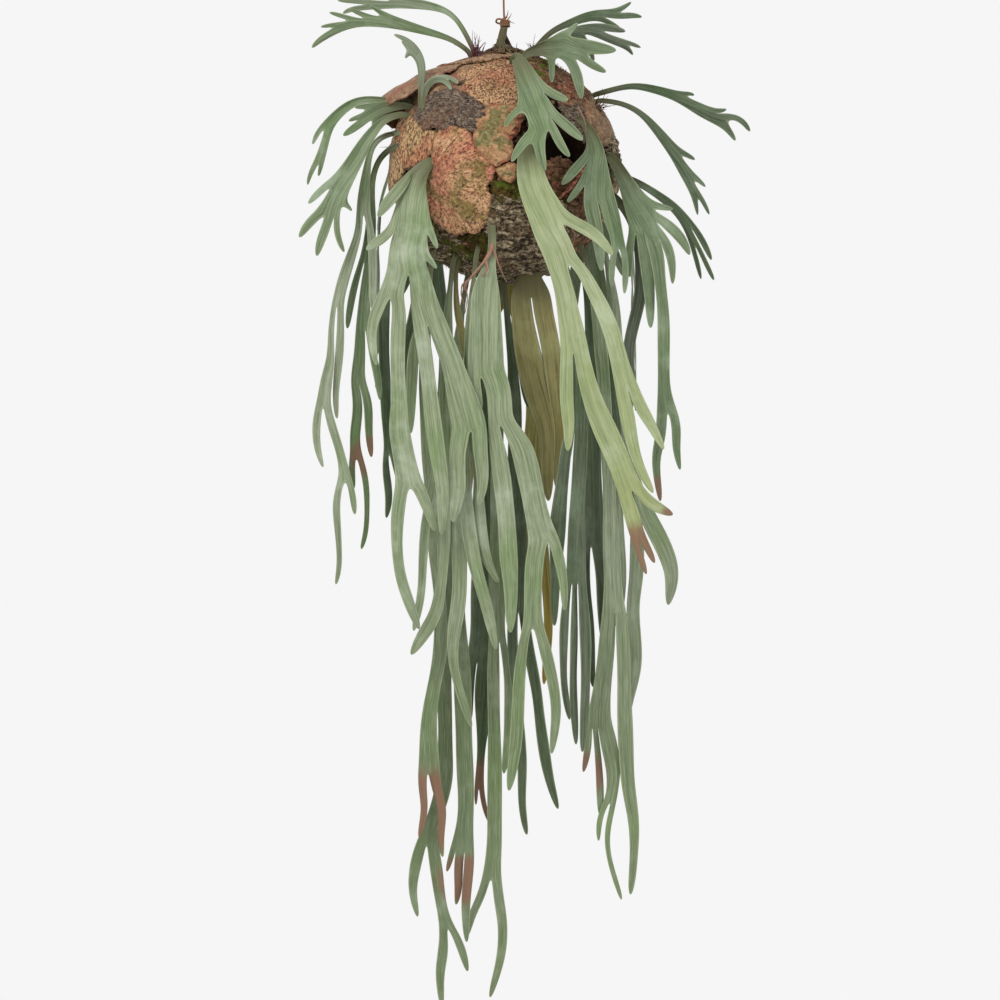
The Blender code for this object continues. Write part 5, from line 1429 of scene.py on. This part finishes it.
rootPaths = [  # thickness and its path's points
    (5.4, [(-14, -117, -347), (-15, -122, -353), (-19, -126, -361), (-26, -125, -371), (-36, -118, -383),
           (-44, -112, -392), (-48, -106, -402)]),
    (2.8, [(-14, -118, -351), (-11, -124, -358), (-7, -120, -370), (-2, -112, -382), (3, -104, -392)]),
    (3.0, [(-22, -125, -366), (-20, -130, -375), (-25, -126, -384), (-33, -118, -390), (-38, -112, -398)]),
    (2.4, [(-44, -112, -391), (-50, -108, -396), (-51, -104, -408), (-47, -100, -420)]),
    (1.8, [(-46, -108, -398), (-44, -104, -412), (-47, -100, -430)]),
    (2.0, [(88, -96, -182), (96, -98, -200), (98, -96, -214)]),
    (1.6, [(76, -92, -320), (84, -98, -336), (80, -96, -352)])]


def rootMaterial(name, dark, light, tip):
    recipe = Recipe(name)
    place = recipe.place()
    grain = recipe.cloud(recipe.stretch(place, (500, 500, 160)), 1.0, 4, 0.65)
    broad = recipe.cloud(place, 70, 3, 0.6)
    colour = recipe.mix(grain, coloured(*dark), coloured(*light))
    colour = recipe.mix(broad.band(0.5, 0.68) * 0.6, colour, coloured(*tip))
    return recipe.finish(colour, 0.75, grain, 0.5)


# ridges of dead frond that curl up at the hollow's rim: thickness and places on the ball as (x, z, height)
lips = [(6.5, [(24, -178, 138), (22, -190, 142), (17, -206, 143), (9, -220, 143), (2, -228, 141)]),
        (5.5, [(100, -236, 137), (94, -250, 140), (84, -268, 140), (72, -284, 138), (60, -296, 136)]),
        (4.0, [(54, -168, 137), (64, -160, 140), (74, -164, 140), (84, -174, 137)])]


def makeLips():
    material = barkMaterial("curledLip", (72, 34, 28), (146, 82, 66), (196, 136, 112), 150, [])
    for number, (thick, places) in enumerate(lips):
        path = smoothPath([onBall(x, z, height) for x, z, height in places], 40)
        path = [spot + 1.6 * noise.noise_vector(spot * 0.12) for spot in path]
        tube("curledLip%d" % number, [path], thick, material, "shield_pink", sides=3,
             taper=lambda t: (0.25 + 0.75 * sin(pi * min(max(t, 0.02), 0.98))) * (1 + 0.2 * sin(t * 31)))


def scatter(chance, spread):
    return Vector([chance.gauss(0, spread) for _ in range(3)])


def gather(bm, small):
    # adds a small mesh to a large one
    part = bpy.data.meshes.new("small")
    small.to_mesh(part)
    small.free()
    bm.from_mesh(part)
    bpy.data.meshes.remove(part)


def makeCrumbs():
    # lumps of bark and soil that fill the seams between the old shields
    chance = Random(growthLook["seed"] + 1)
    bm = bmesh.new()
    spots = []
    while len(spots) < growthLook["crumbs"]:
        way = scatter(chance, 1).normalized()
        spot = way * growthLook["crumbRadius"] + ballMiddle
        if pressed(spot) < 0.2 and way.z < 0.97:
            spots.append((spot, way, chance.uniform(*growthLook["crumbSize"])))
    for _ in range(growthLook["neckCrumbs"]):
        angle, wide = chance.uniform(0, 2 * pi), chance.uniform(*growthLook["neckRing"])
        spots.append((Vector((wide * cos(angle), wide * sin(angle), -106 - wide * 0.26)), Vector((0, 0, 1)),
                      chance.uniform(*growthLook["neckCrumbSize"])))
    for spot, way, size in spots:
        turn = way.to_track_quat("Z", "Y").to_matrix().to_4x4()
        spin = Matrix.Rotation(chance.uniform(0, 6), 4, "Z") @ Matrix.Rotation(chance.gauss(0, 0.25), 4, "X")
        shape = Matrix.Diagonal((size, size * chance.uniform(0.5, 1), size * chance.uniform(0.25, 0.5), 1))
        lump = bmesh.new()
        bmesh.ops.create_icosphere(lump, subdivisions=2, radius=1,
                                   matrix=Matrix.Translation(spot) @ turn @ spin @ shape)
        for vert in lump.verts:
            vert.co += noise.noise_vector(vert.co * 0.35) * size * 0.28
        gather(bm, lump)
    bmesh.ops.scale(bm, vec=(mm, mm, mm), verts=bm.verts)
    material = barkMaterial("seamCrumbs", (38, 26, 20), (94, 70, 52), (158, 124, 98), 160,
                            [((84, 84, 40), 40, 0.50, 0.7), ((150, 92, 72), 26, 0.56, 0.6)])
    addPiece("seamCrumbs", meshFrom(bm, "seamCrumbs"), material, "bark")


def makeGrowth():
    chance = Random(growthLook["seed"])
    hairs = {"hairTufts": rootMaterial("darkHair", (40, 24, 18), (98, 62, 44), (112, 98, 58)),
             "plumTufts": rootMaterial("plumHair", (58, 16, 30), (120, 56, 70), (92, 84, 72))}
    root = rootMaterial("pinkRoot", (128, 84, 72), (190, 148, 130), (112, 116, 84))
    for name, tufts in hairTufts.items():
        paths = []
        for start, way, count, length, spread in tufts:
            for _ in range(count):
                aim = (Vector(way).normalized() + scatter(chance, spread) * 0.6).normalized()
                bend = scatter(chance, 1) * 0.25
                long = length * chance.uniform(0.5, 1.15)
                foot = Vector(start) + scatter(chance, 3) - aim * 6
                paths.append([foot + (aim * t + bend * t * t + Vector((0, 0, -0.12)) * t ** 3) * long
                              for t in [k / 6 for k in range(7)]])
        tube(name, paths, growthLook["hair"], hairs[name], "roots", sides=1, taper=lambda t: 1.3 - 0.95 * t)
    for number, (thick, points) in enumerate(rootPaths):
        tube("rootlet%d" % number, [smoothPath(points, 26)], thick, root, "roots",
             ["rootlets"] if number == 0 else (), sides=3, taper=lambda t: 1 - 0.55 * t + 0.12 * sin(t * 23))
    makeSprigs(chance)


def makeSprigs(chance):
    # short sprigs of moss
    bm = bmesh.new()
    for (x, z), spread, count in sprigPatches:
        for _ in range(count):
            px, pz = x + chance.gauss(0, spread * 0.6), z + chance.gauss(0, spread * 0.4)
            foot = onBall(px, pz, growthLook["sprigFoot"] + chance.uniform(0, 3))
            aim = ((foot - ballMiddle).normalized() + scatter(chance, 0.7)).normalized()
            long = chance.uniform(*growthLook["sprigLength"])
            turn = aim.to_track_quat("Z", "Y").to_matrix().to_4x4()
            sprig = bmesh.new()
            wide, narrow = growthLook["sprigRadius"]
            bmesh.ops.create_cone(sprig, segments=3, radius1=wide, radius2=narrow, depth=long,
                                  cap_ends=False, matrix=Matrix.Translation(foot + aim * long * 0.4) @ turn)
            gather(bm, sprig)
    bmesh.ops.scale(bm, vec=(mm, mm, mm), verts=bm.verts)
    addPiece("mossSprigs", meshFrom(bm, "mossSprigs"), mossMaterial("mossSprig"), "moss")


noise.seed_set(growthLook["seed"])  # without it noise_vector starts from the clock, differently each run
makeLips()
makeCrumbs()
makeGrowth()
print("loose growth made")
